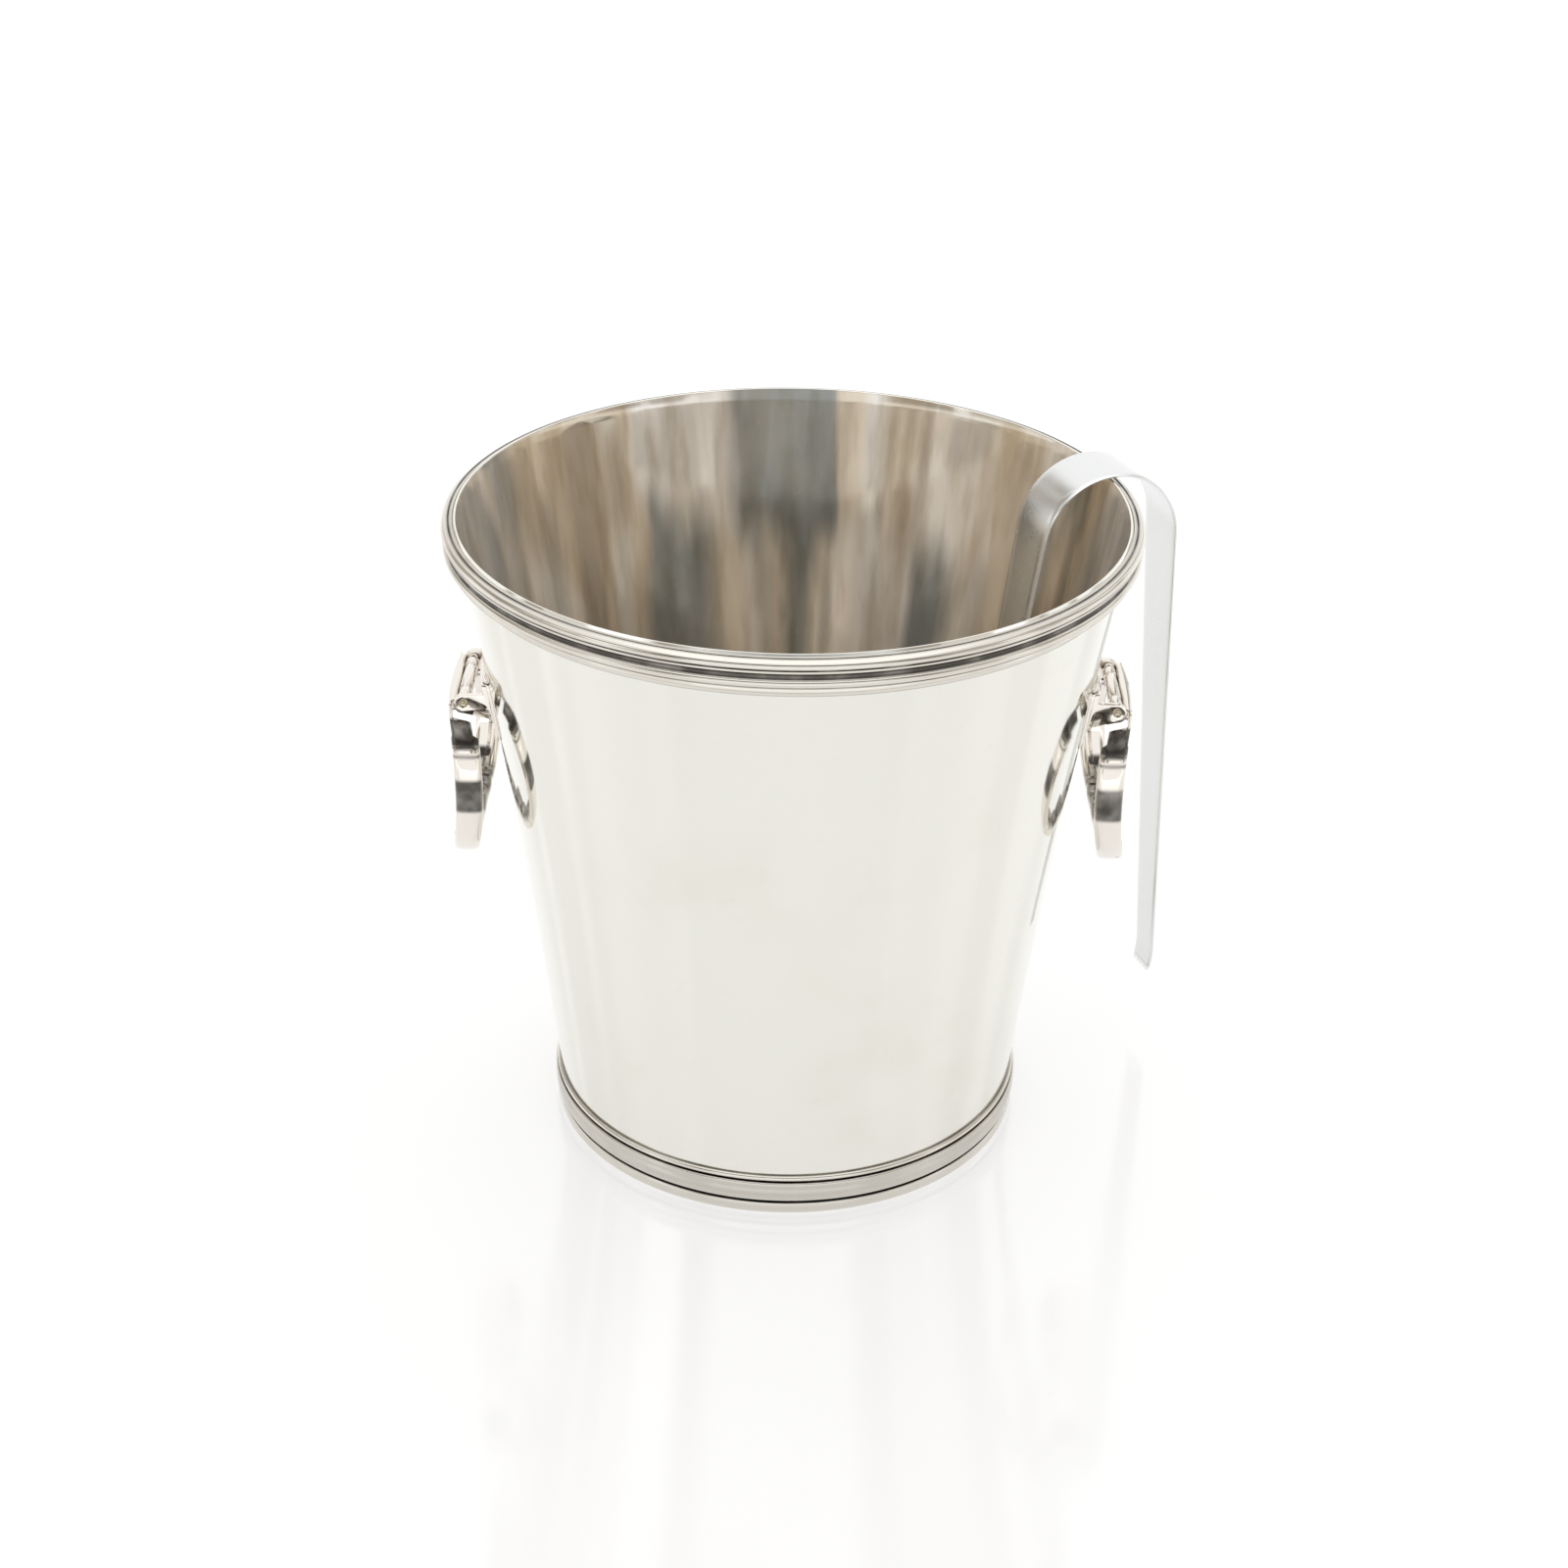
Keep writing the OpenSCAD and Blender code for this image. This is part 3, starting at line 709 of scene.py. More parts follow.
def teeth_tree() -> Tree:
    """Builds the tree that sets a row of teeth along a claw's edge.

    Returns:
        The tree, with inputs Count, Width and Material. The source is one tooth.
    """
    tree = Tree("tooth_row", [("Count", "NodeSocketInt"), ("Width", "NodeSocketFloat"),
                              ("Material", "NodeSocketMaterial")])
    net, start = tree.net, tree.start
    pitch = net.math("DIVIDE", start.outputs["Width"], start.outputs["Count"])
    first = net.math("MULTIPLY", net.math("SUBTRACT", start.outputs["Width"], pitch), -0.5)
    line = net.add("GeometryNodeMeshLine", Count=start.outputs["Count"],
                   Start_Location=net.add("ShaderNodeCombineXYZ", Y=first).outputs[0],
                   Offset=net.add("ShaderNodeCombineXYZ", Y=pitch).outputs[0])
    row = net.add("GeometryNodeInstanceOnPoints", Points=line.outputs[0],
                  Instance=start.outputs["Geometry"])
    tree.close(row.outputs[0])
    return tree


# ------------------------------------------------------------------ painted shade of the mouldings

def even(strength: float) -> Shade:
    """The same darkening everywhere."""
    return lambda r, z: strength


def below(level: float, fade: float, strength: float = 1.0) -> Shade:
    """Painted shade that grows downwards from a height."""
    return lambda r, z: strength * smooth_step(level - z, 0.0, fade)


def above(level: float, fade: float, strength: float = 1.0) -> Shade:
    """Painted shade that grows upwards from a height."""
    return lambda r, z: strength * smooth_step(z - level, 0.0, fade)


def at_height(level: float, reach: float, fade: float, strength: float = 1.0) -> Shade:
    """Painted shade in a line at a height."""
    return lambda r, z: strength * smooth_step(reach - abs(z - level), 0.0, fade)


def at_radius(radius: float, reach: float, fade: float, low: float) -> Shade:
    """Painted shade in a line at a radius, over the height low."""
    return lambda r, z: smooth_step(reach - abs(r - radius), 0.0, fade) * float(z > low)


def sunk(radius: float, fade: float, low: float, high: float, strength: float) -> Shade:
    """Painted shade that grows inwards from a radius, between two heights."""
    return lambda r, z: strength * smooth_step(radius - r, 0.0, fade) * float(low < z < high)


def darkest(*shades: Shade) -> Shade:
    """The darkest of several painted shades at each point."""
    return lambda r, z: max(shade(r, z) for shade in shades)


# ------------------------------------------------------------------ the vessel

@dataclass(frozen=True)
class Section:
    """A closed half section to be turned.

    Attributes:
        points: Radius and height of each point, going round.
        hollow: Painted shade at each point, from 0 to 1.
        inside: Which points face into the vessel.
    """

    points: tuple[Point2, ...]
    hollow: Shade = even(0.0)
    inside: Callable[[int], float] = lambda i: 0.0

    def mesh(self, name: str) -> bpy.types.Mesh:
        """Makes the half section a mesh of points, closed by repeating its first point."""
        loop = list(self.points) + [self.points[0]]
        mesh = bpy.data.meshes.new(name)
        edges = [(i, i + 1) for i in range(len(loop) - 1)]
        mesh.from_pydata([(r * MM, 0, z * MM) for r, z in loop], edges, [])
        dark = mesh.attributes.new("hollow", "FLOAT", "POINT")
        inner = mesh.attributes.new("inside", "FLOAT", "POINT")
        for i, (r, z) in enumerate(loop):
            dark.data[i].value = self.hollow(r, z)
            inner.data[i].value = self.inside(i % len(self.points))
        return mesh


@dataclass
class Vessel:
    """The turned vessel: wall, bottom, rim and foot mouldings.

    Attributes:
        body: The body that it is.
        height: Height of the rim.
        wall: Thickness of the wall.
        stations: Radius and height of three points of the wall's outer arc.
        lip: Rounding of the mouth's inner edge.
        disc_low: Underside of the bottom disc.
        disc_top: Its upper face.
        disc_fillet: Radius of the fillet between the disc and the wall.
        groove: Radius of the groove in the rim's upper face.
        plinth: Inner radius of the foot.
        segments: Divisions around the vessel.
        tree: The tree that turns the sections.
        pits: The tree that scatters the pits.
    """

    body: str = "bucket"
    height: float = 203.9
    wall: float = 1.3
    stations: tuple[Point2, Point2, Point2] = ((73.5, 14.0), (84.6, 99.0), (98.95, 190.0))
    lip: float = 0.45
    disc_low: float = 4.0
    disc_top: float = 5.4
    disc_fillet: float = 2.2
    groove: float = 102.4
    plinth: float = 68.5
    segments: int = 320
    tree: Tree = field(default_factory=turning_tree)
    pits: Tree = field(default_factory=pitting_tree)

    def __post_init__(self) -> None:
        """Finds the centre and radius of the wall's arc."""
        (ax, ay), (bx, by), (cx, cy) = self.stations
        d = 2 * (ax * (by - cy) + bx * (cy - ay) + cx * (ay - by))
        aa, bb, cc = ax * ax + ay * ay, bx * bx + by * by, cx * cx + cy * cy
        self.centre = ((aa * (by - cy) + bb * (cy - ay) + cc * (ay - by)) / d,
                       (aa * (cx - bx) + bb * (ax - cx) + cc * (bx - ax)) / d)
        self.radius = math.hypot(self.centre[0] - ax, self.centre[1] - ay)

    def flare(self, z: float) -> float:
        """Outer radius of the wall at the height z."""
        return self.centre[0] - math.sqrt(self.radius ** 2 - (z - self.centre[1]) ** 2)

    def turn(self, name: str, node: str, section: Section, finish: Silver) -> None:
        """Turns a section into a piece that stands for a CAD node.

        Args:
            name: Name of the piece.
            node: CAD node that it replaces.
            section: The half section.
            finish: Its silver.
        """
        piece = self.tree.run(name, section.mesh(name), Segments=self.segments,
                              Material=finish.material())
        settle(piece, finish, self.body, node)

    def build_wall(self) -> None:
        """Turns the flared wall, with a softly rounded mouth edge."""
        low, top, steps = 2.0, self.height - 1.0, 64
        zs = [low + (top - low) * i / steps for i in range(steps + 1)]
        outer = [(self.flare(z), z) for z in zs]
        mouth = self.flare(self.height) - self.wall
        lip = arc((mouth + self.lip, self.height - 0.55), self.lip, 60, 180, 6)
        inner = [(self.flare(z) - self.wall, z) for z in reversed(zs)]
        lip_outside = 4
        first_inner = len(outer) + lip_outside
        # Points from first_inner on face inwards and take the painted reflection streaks.
        section = Section(tuple(outer + lip + inner), inside=lambda i: float(i >= first_inner))
        self.turn("wall", "body_shell", section, WALL)

    def build_bottom(self) -> None:
        """Turns the bottom disc with a small fillet up to the wall."""
        low, top, fillet = self.disc_low, self.disc_top, self.disc_fillet
        edge = self.flare(top) - self.wall - 0.01
        corner = arc((edge - fillet, top + fillet), fillet, 0, -90, 6)
        points = [(0.0, low), (edge - 0.2, low), (edge, low + 1.0)] + corner
        points += [(30.0, top), (0.0, top)]
        self.turn("bottom", "bottom_disc", Section(tuple(points)), BOTTOM)

    def build_rim(self) -> None:
        """Turns the three rim mouldings, with painted shade in the groove and in the quirks between
        them.
        """
        seat = self.flare
        groove = arc((self.groove, 202.95), 0.32, 150, 390, 6)
        dome = arc((102.95, 201.1), 1.74, 80, -22, 12)
        points = [(seat(200.9), 200.75), (seat(203.3) + 0.02, 203.25)] + groove + dome
        points += [(103.9, 200.62)]
        # Painted shade in the groove and in the quirk under the top moulding.
        dark = darkest(at_radius(self.groove, 0.42, 0.3, 202.0), below(200.95, 0.25))
        self.turn("rim_top", "rim_top_wire", Section(tuple(points), dark), MOULDING)

        belt = arc((103.2, 196.1), 1.2, -80, 62, 14)
        hollow = arc((104.25, 198.25), 0.92, 232, 122, 8)
        ridge = arc((103.6, 199.72), 0.58, -62, 90, 8)
        points = [(seat(195.0), 194.95), (103.0, 194.9)] + belt + hollow + ridge
        points += [(seat(200.0), 200.3)]
        # Painted shade in the quirks below and above and in the cove.
        dark = darkest(below(195.25, 0.3), above(200.05, 0.25),
                       sunk(104.15, 0.3, 197.2, 199.3, 0.9))
        self.turn("rim_cavetto", "rim_cavetto_wire", Section(tuple(points), dark), MOULDING)

        slope = arc((103.1, 190.2), 2.9, 168, 105, 8)
        band = [(102.75, 193.15), (103.0, 193.35), (103.0, 194.2), (102.75, 194.65),
                (102.3, 194.7)]
        points = [(seat(191.0), 190.75)] + slope + band + [(seat(194.7), 194.7)]
        # Painted shade in a line at 193.05 mm, above the band and, weaker, under the slope.
        dark = darkest(at_height(193.05, 0.25, 0.2), above(194.4, 0.25), below(191.15, 0.3, 0.5))
        self.turn("rim_fillet", "rim_lower_fillet", Section(tuple(points), dark), MOULDING)

    def build_foot(self) -> None:
        """Turns the plinth, the broad band and the bead, with painted shade in the quirks between
        them.
        """
        seat = self.flare
        points = [(self.plinth, 0.0), (74.1, 0.0)]
        points += arc((74.0, 0.5), 0.5, -80, 0, 4) + arc((74.0, 3.1), 0.5, 0, 90, 4)
        points += [(seat(3.6), 3.6), (seat(2.0), 2.0), (self.plinth, 2.0)]
        # Painted shade in the quirk above the plinth.
        self.turn("plinth", "foot_ring", Section(tuple(points), above(3.4, 0.2)), MOULDING)

        low = arc((74.3, 5.2), 0.62, -100, -10, 5)
        face = [(75.1, 6.6), (75.1, 8.6), (74.98, 9.0), (74.98, 9.3), (75.1, 9.6)]
        high = arc((74.45, 10.6), 0.62, 15, 95, 5)
        points = [(seat(4.6), 4.6)] + low + face + high + [(seat(11.1), 11.22)]
        # Painted shade in the quirks below and above and in a line at 9.15 mm; the whole band is
        # also darkened evenly.
        dark = darkest(below(4.85, 0.2), above(11.12, 0.1), at_height(9.15, 0.2, 0.1, 0.4),
                       even(0.16))
        self.turn("foot_band", "base_broad_band", Section(tuple(points), dark), MOULDING)

        bead = arc((73.6, 12.4), 1.0, -86, 86, 12)
        points = [(seat(11.4), 11.4)] + bead + [(seat(13.4), 13.4)]
        # Painted shade in the quirks below and above the bead.
        dark = darkest(below(11.55, 0.15), above(13.3, 0.1, 0.7))
        self.turn("foot_bead", "base_bead", Section(tuple(points), dark), MOULDING)

    def build_pits(self) -> None:
        """Scatters the fine dots of the groove and a few pits on the rim's face."""
        rows = {
            "rim_dots": dict(Radius=self.groove * MM, Height=202.78 * MM, Count=620, Share=0.45,
                             Spread=0.0006, Size=0.16 * MM, Seed=4),
            "rim_pits": dict(Radius=101.3 * MM, Height=203.32 * MM, Count=260, Share=0.10,
                             Spread=0.006, Size=0.15 * MM, Seed=11),
        }
        for name, values in rows.items():
            piece = self.pits.run(name, bpy.data.meshes.new(name), Material=PIT.material(),
                                  **values)
            settle(piece, PIT, self.body)

    def build(self) -> None:
        """Builds every turned piece."""
        self.build_wall()
        self.build_bottom()
        self.build_rim()
        self.build_foot()
        self.build_pits()


# ------------------------------------------------------------------ hinge and handle

@dataclass
class Hinge:
    """A bracket, its backplate and its riveted pin on one side.

    Attributes:
        side: Which side it is on.
        body: The body that it rides on.
        plate_edge: Rounding of the backplate's edges.
        bracket_edge: Rounding of the bracket's edges.
    """

    side: Side
    body: str = "bucket"
    plate_edge: float = 0.22
    bracket_edge: float = 0.25

    def build(self) -> None:
        """Rounds the CAD pieces' edges and dresses them."""
        word = self.side.word
        for node, width in ((f"{word}_backplate", self.plate_edge),
                            (f"{word}_bracket", self.bracket_edge)):
            settle(softened(node, width), CAST, self.body, node)
        RIVET.dress(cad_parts[f"{word}_hinge_pin"])


@dataclass
class DropRing:
    """A cast ring that hangs from the hinge pin, with its barrel.

    Attributes:
        side: Which side it is on.
        pin: X and Z of the pin.
        outer: Radius of the outer outline.
        inner: Radius of the inner outline.
        drop: Depth of the outlines' centre below the pin.
        bar_top: Top of the bar over the pin.
        bar_low: Underside of the bar below the pin.
        shoulder_drop: Top of the shoulders, below the pin.
        shoulder_low: Underside of the shoulders, below the pin.
        bead: Height of the bead across each shoulder.
        plan: Radius of the outer face seen from above.
        face: X of the outer face at the middle.
        depth: Depth of the band in X.
        step: Depth below the pin at which the band gets thinner.
        stations: Sections along the ring.
        around: Points round each section.
        square: How square the section is: 1 is an ellipse and 0 a rectangle.
        barrel_edge: Rounding of the edges of the barrel and its collars.
    """

    side: Side
    pin: Point2 = (99.0, 144.8)
    outer: float = 33.0
    inner: float = 28.0
    drop: float = 22.0
    bar_top: float = 1.5
    bar_low: float = 4.0
    shoulder_drop: float = 3.3
    shoulder_low: float = 6.0
    bead: float = 0.7
    plan: float = 115.0
    face: float = 104.8
    depth: float = 8.0
    step: float = 6.3
    stations: int = 400
    around: int = 24
    square: float = 0.62
    barrel_edge: float = 0.14

    @property
    def body(self) -> str:
        """The body that the ring rides on."""
        return f"{self.side.word}_handle"

    def crest_radius(self, way: Vector, top: float, side: float, start: float,
                     stop: float) -> float:
        """Distance from the outline's centre to a line with a raised middle.

        Args:
            way: Direction from the centre.
            top: Height of the middle, from the pin.
            side: Height beside it.
            start: Distance along the pin where the line starts to fall.
            stop: Distance where it has fallen.

        Returns:
            The distance in millimetres.
        """
        near, far, halvings = 0.0, 60.0, 24
        for _ in range(halvings):
            middle = (near + far) / 2
            y = abs(way.y) * middle
            line = top + (side - top) * smooth_step(y, start, stop)
            if way.z * middle - self.drop > line:
                far = middle
            else:
                near = middle
        return near

    def ornament(self, angle: float) -> float:
        """How far the cast ornament stands up from the inner outline.

        Args:
            angle: Angle from the lowest point, in degrees.

        Returns:
            The height of the ornament in millimetres.
        """
        a = abs(angle)
        spade = 6.8 * max(0.0, 1 - a / 7.5) ** 1.35
        lobe = 1.9 * hump(a, 10.5, 3.2)
        leaf = 1.5 * hump(a, 25.0, 6.0)
        collar = 2.1 * hump(a, 39.0, 2.2) + 1.0 * hump(a, 44.5, 1.8)
        return max(spade, lobe, leaf, collar)

    def span(self, angle: float) -> tuple[Vector, Vector]:
        """Inner and outer outline points at an angle from the lowest point, in degrees."""
        a = math.radians(angle)
        way = Vector((0, math.sin(a), -math.cos(a)))
        outer, inner = self.outer, self.inner
        if way.z > 0.05:
            top = self.crest_radius(way, self.bar_top, -self.shoulder_drop, 18.3, 20.5)
            low = self.crest_radius(way, -self.bar_low, -self.shoulder_low, 15.0, 19.0)
            outer = smooth_min(self.outer, top, 16)
            inner = smooth_min(self.inner, low, 22)
            outer += self.bead * hump(way.z * outer - self.drop, -9.4, 0.75)
        inner -= self.ornament(angle)
        centre = Vector((0, 0, -self.drop))
        return centre + way * inner, centre + way * outer

    def reach(self, y: float, z: float) -> tuple[float, float]:
        """Back and front X of the band at a station.

        Args:
            y: Distance along the pin.
            z: Height from the pin.

        Returns:
            The back and the front X.
        """
        middle = self.face - self.plan
        thin = smooth_step(z, -self.step - 0.35, -self.step + 0.35)
        front = middle + math.sqrt((self.plan - 0.3 * thin) ** 2 - y * y)
        back = middle + math.sqrt((self.plan - self.depth + 1.5 * thin) ** 2 - y * y)
        on_bar = smooth_step(z, -5.5, -4.6) * (1 - smooth_step(abs(y), 18.3, 19.5))
        between = 1 - smooth_step(abs(y), 14.1, 14.4)
        clear = 102.3 - 1.2 * between
        return back + (max(back, clear) - back) * on_bar, front

    def painted_shade_at(self, angle: float, z: float, across: float) -> float:
        """Painted shade and painted dark reflection on the ring at a point.

        Args:
            angle: Angle from the lowest point, in degrees.
            z: Height from the pin.
            across: From -1 on the inner outline to 1 on the outer one.

        Returns:
            The darkening, from 0 to 1.
        """
        # root darkens the inner outline of the lower ring; beside is painted shade in the hollows
        # on either side of the bead.
        root = 0.7 * smooth_step(-across, 0.0, 0.7) * (1 - smooth_step(abs(angle), 44, 56))
        beside = 0.8 * max(hump(z, -10.6, 0.5), hump(z, -8.2, 0.5))
        # shoulder is painted shade between the bead and the hinge bracket.
        shoulder = 0.95 * smooth_step(z, -8.2, -7.4) * (1 - smooth_step(z, -3.6, -2.8))
        # low_band and edge are a painted dark reflection on the outer edge, low on the ring.
        low_band = smooth_step(z, -29.5, -28) * (1 - smooth_step(z, -18.5, -17))
        edge = 0.95 * smooth_step(across, 0.2, 0.8) * low_band
        return max(root, beside, shoulder, edge)

    def build_ring(self) -> Piece:
        """Skins the ring from its sections and returns it."""
        rows = []
        hollow = []
        for i in range(self.stations):
            angle = -180 + 360 * i / self.stations
            inner, outer = self.span(angle)
            half = (outer - inner) / 2
            middle = (outer + inner) / 2
            row = []
            for k in range(self.around):
                turn = 2 * math.pi * k / self.around
                c, s = math.cos(turn), math.sin(turn)
                across = math.copysign(abs(c) ** self.square, c)
                deep = math.copysign(abs(s) ** self.square, s)
                p = middle + half * across
                back, front = self.reach(middle.y, middle.z)
                x = (front + back) / 2 + deep * (front - back) / 2
                row.append(Vector((self.side.value * x * MM, p.y * MM, (self.pin[1] + p.z) * MM)))
                # Painted shade and painted dark reflection of each point.
                hollow.append(self.painted_shade_at(angle, p.z, across))
            rows.append(row)
        return grid_piece(f"{self.side.word}_ring_cast", rows, True, hollow)

    def build(self) -> None:
        """Builds the ring and softens its barrel."""
        word = self.side.word
        settle(self.build_ring(), CAST, self.body, f"{word}_handle_ring")
        for part in ("tube", "collars"):
            node = f"{word}_handle_{part}"
            settle(softened(node, self.barrel_edge), CAST, self.body, node)


# ------------------------------------------------------------------ tongs

@dataclass
class Tongs:
    """The bent strip that hooks over the rim, with its two toothed claws.

    Attributes:
        turn: Direction of the tongs' plane, in degrees from +X.
        bow: Outer radius of the bow.
        centre: Distance and height of the bow's centre.
        thick: Thickness of the strip.
        width: Width at the bow.
        tip_width: Width at the claws.
        low: Height of the outer claw's end.
        leans: Lean of the outer and the inner arm, in degrees.
        claw: Length of a claw.
        curl: How far a claw turns inwards, in degrees.
        teeth: Teeth on each claw.
        tooth: Length of a tooth.
        crown: How much lower the outer face lies at the edges than in the middle.
        edge: Rounding of the outer face's edges.
        back_edge: Rounding of the inner face's edges.
        body: The body that they are.
    """

    turn: float = 20.3
    bow: float = 23.2
    centre: Point2 = (101.0, 182.4)
    thick: float = 1.4
    width: float = 21.0
    tip_width: float = 10.8
    low: float = 19.0
    leans: tuple[float, float] = (2.4, 8.5)
    claw: float = 9.0
    curl: float = 14.0
    teeth: int = 5
    tooth: float = 1.6
    crown: float = 0.22
    edge: float = 0.45
    back_edge: float = 0.35
    body: str = "tongs"

    @property
    def arm(self) -> float:
        """Length of an arm without its claw."""
        lean = math.radians(self.leans[0])
        start = self.centre[1] + self.bow * math.sin(lean)
        return (start - self.low - self.claw) / math.cos(lean)

    def place(self, x: float, y: float, z: float) -> Vector:
        """A point of the tongs' own frame, turned to where they hang, in metres."""
        return Matrix.Rotation(math.radians(self.turn), 3, "Z") @ Vector((x, y, z)) * MM

    def arm_frame(self, side: Side) -> tuple[Vector, Vector, Vector]:
        """Start of an arm on the bow's outer face, the way down it and the way outward."""
        lean = math.radians(self.leans[0] if side is Side.RIGHT else self.leans[1])
        s = side.value
        out = Vector((s * math.cos(lean), 0, math.sin(lean)))
        down = Vector((s * math.sin(lean), 0, -math.cos(lean)))
        start = Vector((self.centre[0], 0, self.centre[1])) + out * self.bow
        return start, down, out

    def half_width(self, along: float) -> float:
        """Half width of an arm at a distance down from the bow."""
        share = max(0.0, along) / (self.arm + self.claw)
        return (self.width + (self.tip_width - self.width) * share) / 2

    def section(self, middle: Vector, out: Vector, half: float) -> list[Vector]:
        """A crowned section of the strip.

        Args:
            middle: Point on the outer face, in millimetres.
            out: The outward direction there.
            half: Half of the width.

        Returns:
            The section's points in metres.
        """
        ys = [-1, -0.97, -0.9, -0.7, -0.4, 0, 0.4, 0.7, 0.9, 0.97, 1]
        points = []
        for y in ys:
            depth = self.crown * y * y + self.edge * max(0.0, (abs(y) - 0.9) / 0.1) ** 2
            points.append(middle - out * depth + Vector((0, y * half, 0)))
        for y in reversed(ys):
            depth = self.thick - self.back_edge * max(0.0, (abs(y) - 0.9) / 0.1) ** 2
            points.append(middle - out * depth + Vector((0, y * half * 0.995, 0)))
        return [self.place(p.x, p.y, p.z) for p in points]

    def build_strip(self) -> Piece:
        """Skins the arms and the bow as one bent strip."""
        rows = []
        steps = 40
        start, down, out = self.arm_frame(Side.LEFT)
        for i in range(steps):
            along = self.arm * (1 - i / steps)
            rows.append(self.section(start + down * along, out, self.half_width(along)))
        bend = 72
        for i in range(bend + 1):
            sweep = self.leans[1] - 180 + self.leans[0]
            angle = math.radians(180 - self.leans[1] + sweep * i / bend)
            way = Vector((math.cos(angle), 0, math.sin(angle)))
            middle = Vector((self.centre[0], 0, self.centre[1])) + way * self.bow
            rows.append(self.section(middle, way, self.width / 2))
        start, down, out = self.arm_frame(Side.RIGHT)
        for i in range(1, steps + 1):
            along = self.arm * i / steps
            rows.append(self.section(start + down * along, out, self.half_width(along)))
        return grid_piece("tongs_strip", rows, closed=False)

    def one_tooth(self, pitch: float) -> bpy.types.Mesh:
        """A tooth whose root reaches into the plate, as wide as the pitch.

        Args:
            pitch: Distance from one tooth to the next.

        Returns:
            The tooth's mesh, pointing down.
        """
        half, root = pitch / 2, 0.4
        front, tip, back = -0.25, -0.3, 0.1 - self.thick
        corners = [(front, -half, root), (front, half, root), (tip, 0, -self.tooth),
                   (back, -half, root), (back, half, root), (back, 0, -self.tooth)]
        mesh = bpy.data.meshes.new("tooth")
        mesh.from_pydata([tuple(c * MM for c in corner) for corner in corners], [],
                         [(0, 1, 2), (5, 4, 3), (1, 0, 3, 4), (2, 1, 4, 5), (0, 2, 5, 3)])
        return mesh

    def build_claw(self, side: Side, tree: Tree) -> Piece:
        """Builds one claw: a curled plate with a row of teeth.

        Args:
            side: RIGHT for the outer arm, LEFT for the inner one.
            tree: The tree that sets the teeth.

        Returns:
            The claw as one piece.
        """
        word = "outer" if side is Side.RIGHT else "inner"
        name = f"tongs_{word}_claw_toothed"
        start, down, out = self.arm_frame(side)
        steps = 10
        rows = []
        middle = start + down * self.arm
        plate = self.claw - self.tooth
        for i in range(steps + 1):
            share = i / steps
            angle = math.radians(self.curl * share)
            way = out * math.cos(angle) + down * math.sin(angle)
            rows.append(self.section(middle, way, self.half_width(self.arm + plate * share)))
            step = down * math.cos(angle) - out * math.sin(angle)
            middle = middle + step * (plate / steps)
        plate_piece = grid_piece(name, rows, closed=False)
        angle = math.radians(self.curl)
        ahead = down * math.cos(angle) - out * math.sin(angle)
        face = out * math.cos(angle) + down * math.sin(angle)
        width = 2 * self.half_width(self.arm + plate) * 0.97
        row = tree.run(name + "_row", self.one_tooth(width / self.teeth), Count=self.teeth,
                       Width=width * MM, Material=SATIN.material())
        spin = Matrix.Rotation(math.radians(self.turn), 4, "Z")
        axes = Matrix((face, Vector((0, 1, 0)), -ahead)).transposed().to_4x4()
        row.data.transform(spin @ Matrix.Translation(middle * MM) @ axes)
        return join([plate_piece, row])

    def build(self) -> None:
        """Builds the strip and both claws."""
        settle(self.build_strip(), SATIN, self.body,
               "tongs_bow", "tongs_inner_arm", "tongs_outer_arm")
        tree = teeth_tree()
        for side, node in ((Side.RIGHT, "tongs_outer_claw"), (Side.LEFT, "tongs_inner_claw")):
            settle(self.build_claw(side, tree), SATIN, self.body, node)


def join(pieces: Sequence[Piece]) -> Piece:
    """Joins pieces at the origin into the first one's object."""
    shape = bmesh.new()
    for piece in pieces:
        shape.from_mesh(piece.data)
    bmesh.ops.recalc_face_normals(shape, faces=shape.faces)
    shape.to_mesh(pieces[0].data)
    shape.free()
    finish_shading(pieces[0].data)
    for piece in pieces[1:]:
        bpy.data.objects.remove(piece)
    return pieces[0]


# ------------------------------------------------------------------ studio

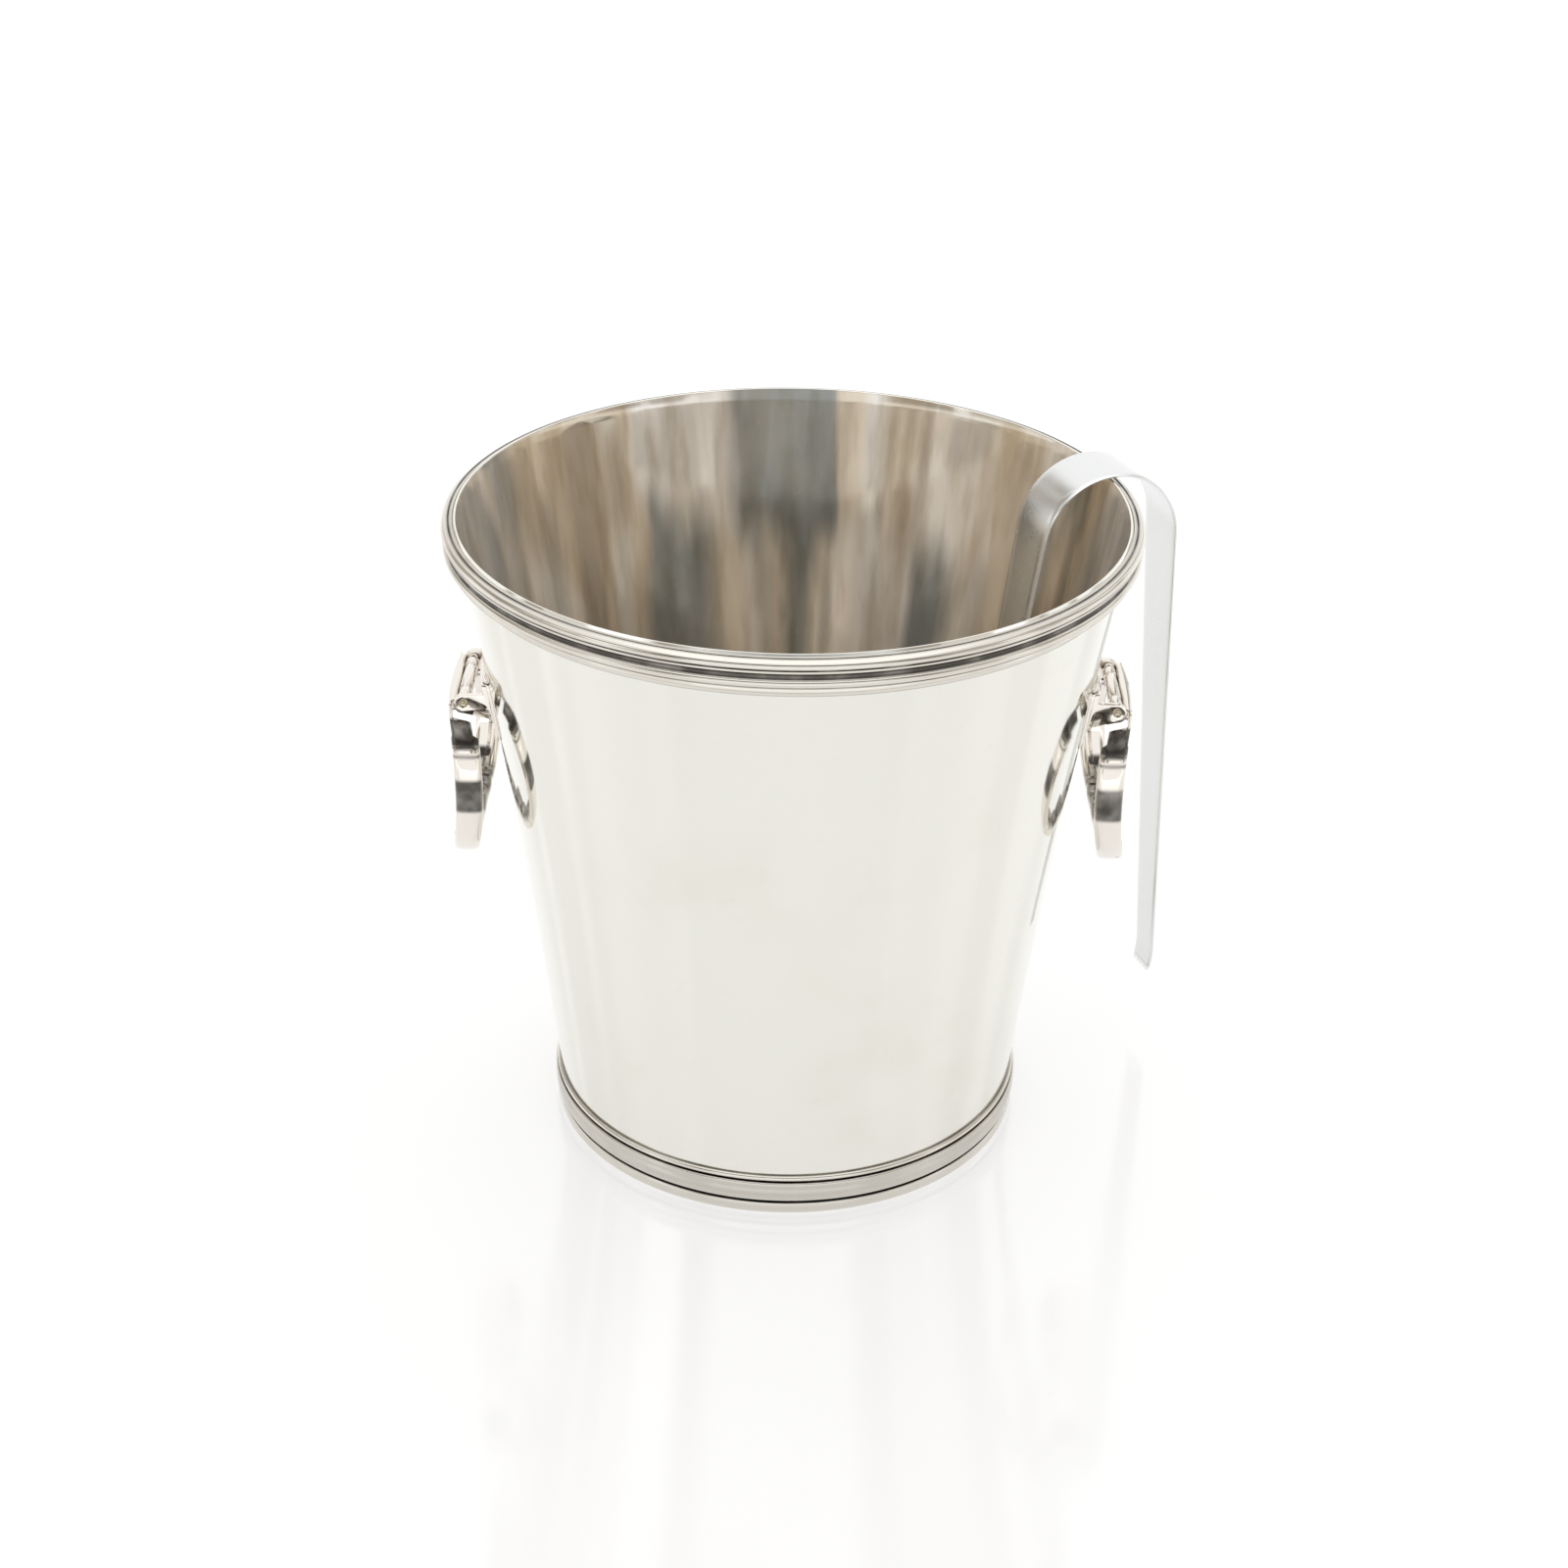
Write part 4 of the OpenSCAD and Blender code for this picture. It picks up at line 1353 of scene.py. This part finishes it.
@dataclass
class Studio:
    """Camera, floor and soft light.

    Attributes:
        eye: Camera place in metres.
        pitch: Angle below the horizon, in radians.
        yaw: Turn to the right, in radians.
        roll: Roll, in radians.
        lens: Focal length in millimetres on a 36 mm sensor.
        floor_half: Half of the floor's side in metres.
        floor_tone: How light the floor is.
        floor_glow: Light that the floor gives off.
        white: The room as the silver reflects it.
        flag: Darker flags at its sides.
        hood: Dark hood over the camera.
        boxes: Name, place, size and power of each soft box.
    """

    eye: tuple[float, float, float] = (0.0, -0.8, 0.5404)
    pitch: float = 0.4934
    yaw: float = -0.002
    roll: float = 0.014
    lens: float = 66.6
    floor_half: float = 6.0
    floor_tone: float = 0.42
    floor_glow: float = 0.58
    white: Colour = (1.08, 1.08, 1.07, 1)
    flag: Colour = (0.42, 0.38, 0.33, 1)
    hood: Colour = (0.06, 0.055, 0.05, 1)
    boxes: tuple[tuple[str, tuple[float, float, float], float, float], ...] = (
        ("top_box", (0.0, 0.1, 1.9), 1.6, 3.0),
        ("left_box", (-1.5, -0.6, 1.2), 1.2, 1.5),
        ("right_box", (1.5, -0.6, 1.2), 1.2, 1.5),
    )

    def build_camera(self) -> None:
        """Sets the camera."""
        ahead = Vector((math.sin(self.yaw) * math.cos(self.pitch),
                        math.cos(self.yaw) * math.cos(self.pitch), -math.sin(self.pitch)))
        right = Vector((math.cos(self.yaw), -math.sin(self.yaw), 0))
        up = right.cross(ahead)
        across = right * math.cos(self.roll) + up * math.sin(self.roll)
        above = up * math.cos(self.roll) - right * math.sin(self.roll)
        camera = bpy.data.objects.new("camera", bpy.data.cameras.new("camera"))
        camera.data.lens = self.lens
        camera.data.sensor_width = 36.0
        camera.data.clip_end = 50.0
        axes = Matrix((across, above, -ahead)).transposed().to_4x4()
        camera.matrix_world = Matrix.Translation(self.eye) @ axes
        bpy.context.scene.collection.objects.link(camera)
        bpy.context.scene.camera = camera

    def build_floor(self) -> None:
        """Lays the glossy white floor."""
        mesh = bpy.data.meshes.new("floor")
        s = self.floor_half
        mesh.from_pydata([(-s, -s, 0), (s, -s, 0), (s, s, 0), (-s, s, 0)], [], [(0, 1, 2, 3)])
        floor = new_piece("floor", mesh)
        material = bpy.data.materials.new("white_floor")
        material.use_nodes = True
        shader = material.node_tree.nodes["Principled BSDF"]
        shader.inputs["Base Color"].default_value = (*[self.floor_tone] * 3, 1)
        shader.inputs["Roughness"].default_value = 0.10
        shader.inputs["IOR"].default_value = 1.75
        shader.inputs["Emission Color"].default_value = (1, 1, 1, 1)
        shader.inputs["Emission Strength"].default_value = self.floor_glow
        mesh.materials.append(material)

    def build_world(self) -> None:
        """Makes the room: white to the eye, with darker flags in what the silver reflects."""
        world = bpy.data.worlds.new("studio")
        bpy.context.scene.world = world
        world.use_nodes = True
        net = Net(world.node_tree)
        back = world.node_tree.nodes["Background"]
        way = net.add("ShaderNodeTexCoord").outputs["Generated"]
        parts = net.add("ShaderNodeSeparateXYZ", Vector=way)
        height = parts.outputs["Z"]
        under = net.math("SUBTRACT", 1.0, net.ramp(height, 0.66, 0.80))
        band = net.math("MULTIPLY", net.ramp(height, 0.04, 0.12), under)
        aside = net.ramp(net.math("ABSOLUTE", parts.outputs["X"]), 0.42, 0.60)
        stripes = net.ramp(net.noise(net.stretched(way, (4.0, 4.0, 1.2)), 1.0, 1.0), 0.40, 0.50)
        toward = net.ramp(net.math("MULTIPLY", parts.outputs["Y"], -1.0), 0.1, 0.3)
        hood = net.math("MULTIPLY", toward, net.ramp(height, 0.45, 0.55))
        aside = net.math("MULTIPLY", band, net.math("MULTIPLY", aside, stripes))
        room = net.mix(aside, self.white, self.flag)
        room = net.mix(net.math("MULTIPLY", band, hood), room, self.hood)
        eye = net.add("ShaderNodeLightPath").outputs["Is Camera Ray"]
        net.feed(back, "Color", net.mix(eye, room, (1.0, 1.0, 1.0, 1)))
        back.inputs["Strength"].default_value = 1.0

    def build_lamps(self) -> None:
        """Hangs the soft boxes."""
        for name, place, size, power in self.boxes:
            data = bpy.data.lights.new(name, "AREA")
            data.size = size
            data.energy = power
            lamp = bpy.data.objects.new(name, data)
            lamp.location = place
            lamp.rotation_euler = (-Vector(place)).to_track_quat("-Z", "Y").to_euler()
            bpy.context.scene.collection.objects.link(lamp)

    def build(self) -> None:
        """Builds the whole studio."""
        self.build_camera()
        self.build_floor()
        self.build_world()
        self.build_lamps()
        bpy.context.scene.view_settings.view_transform = "Standard"


def main() -> None:
    """Builds the bucket's pieces in order, then the studio."""
    logging.basicConfig(level=logging.INFO, format="%(name)s %(message)s")
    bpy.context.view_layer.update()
    Vessel().build()
    for side in Side:
        Hinge(side).build()
        DropRing(side).build()
    Tongs().build()
    Studio().build()


if __name__ == "__main__":
    main()
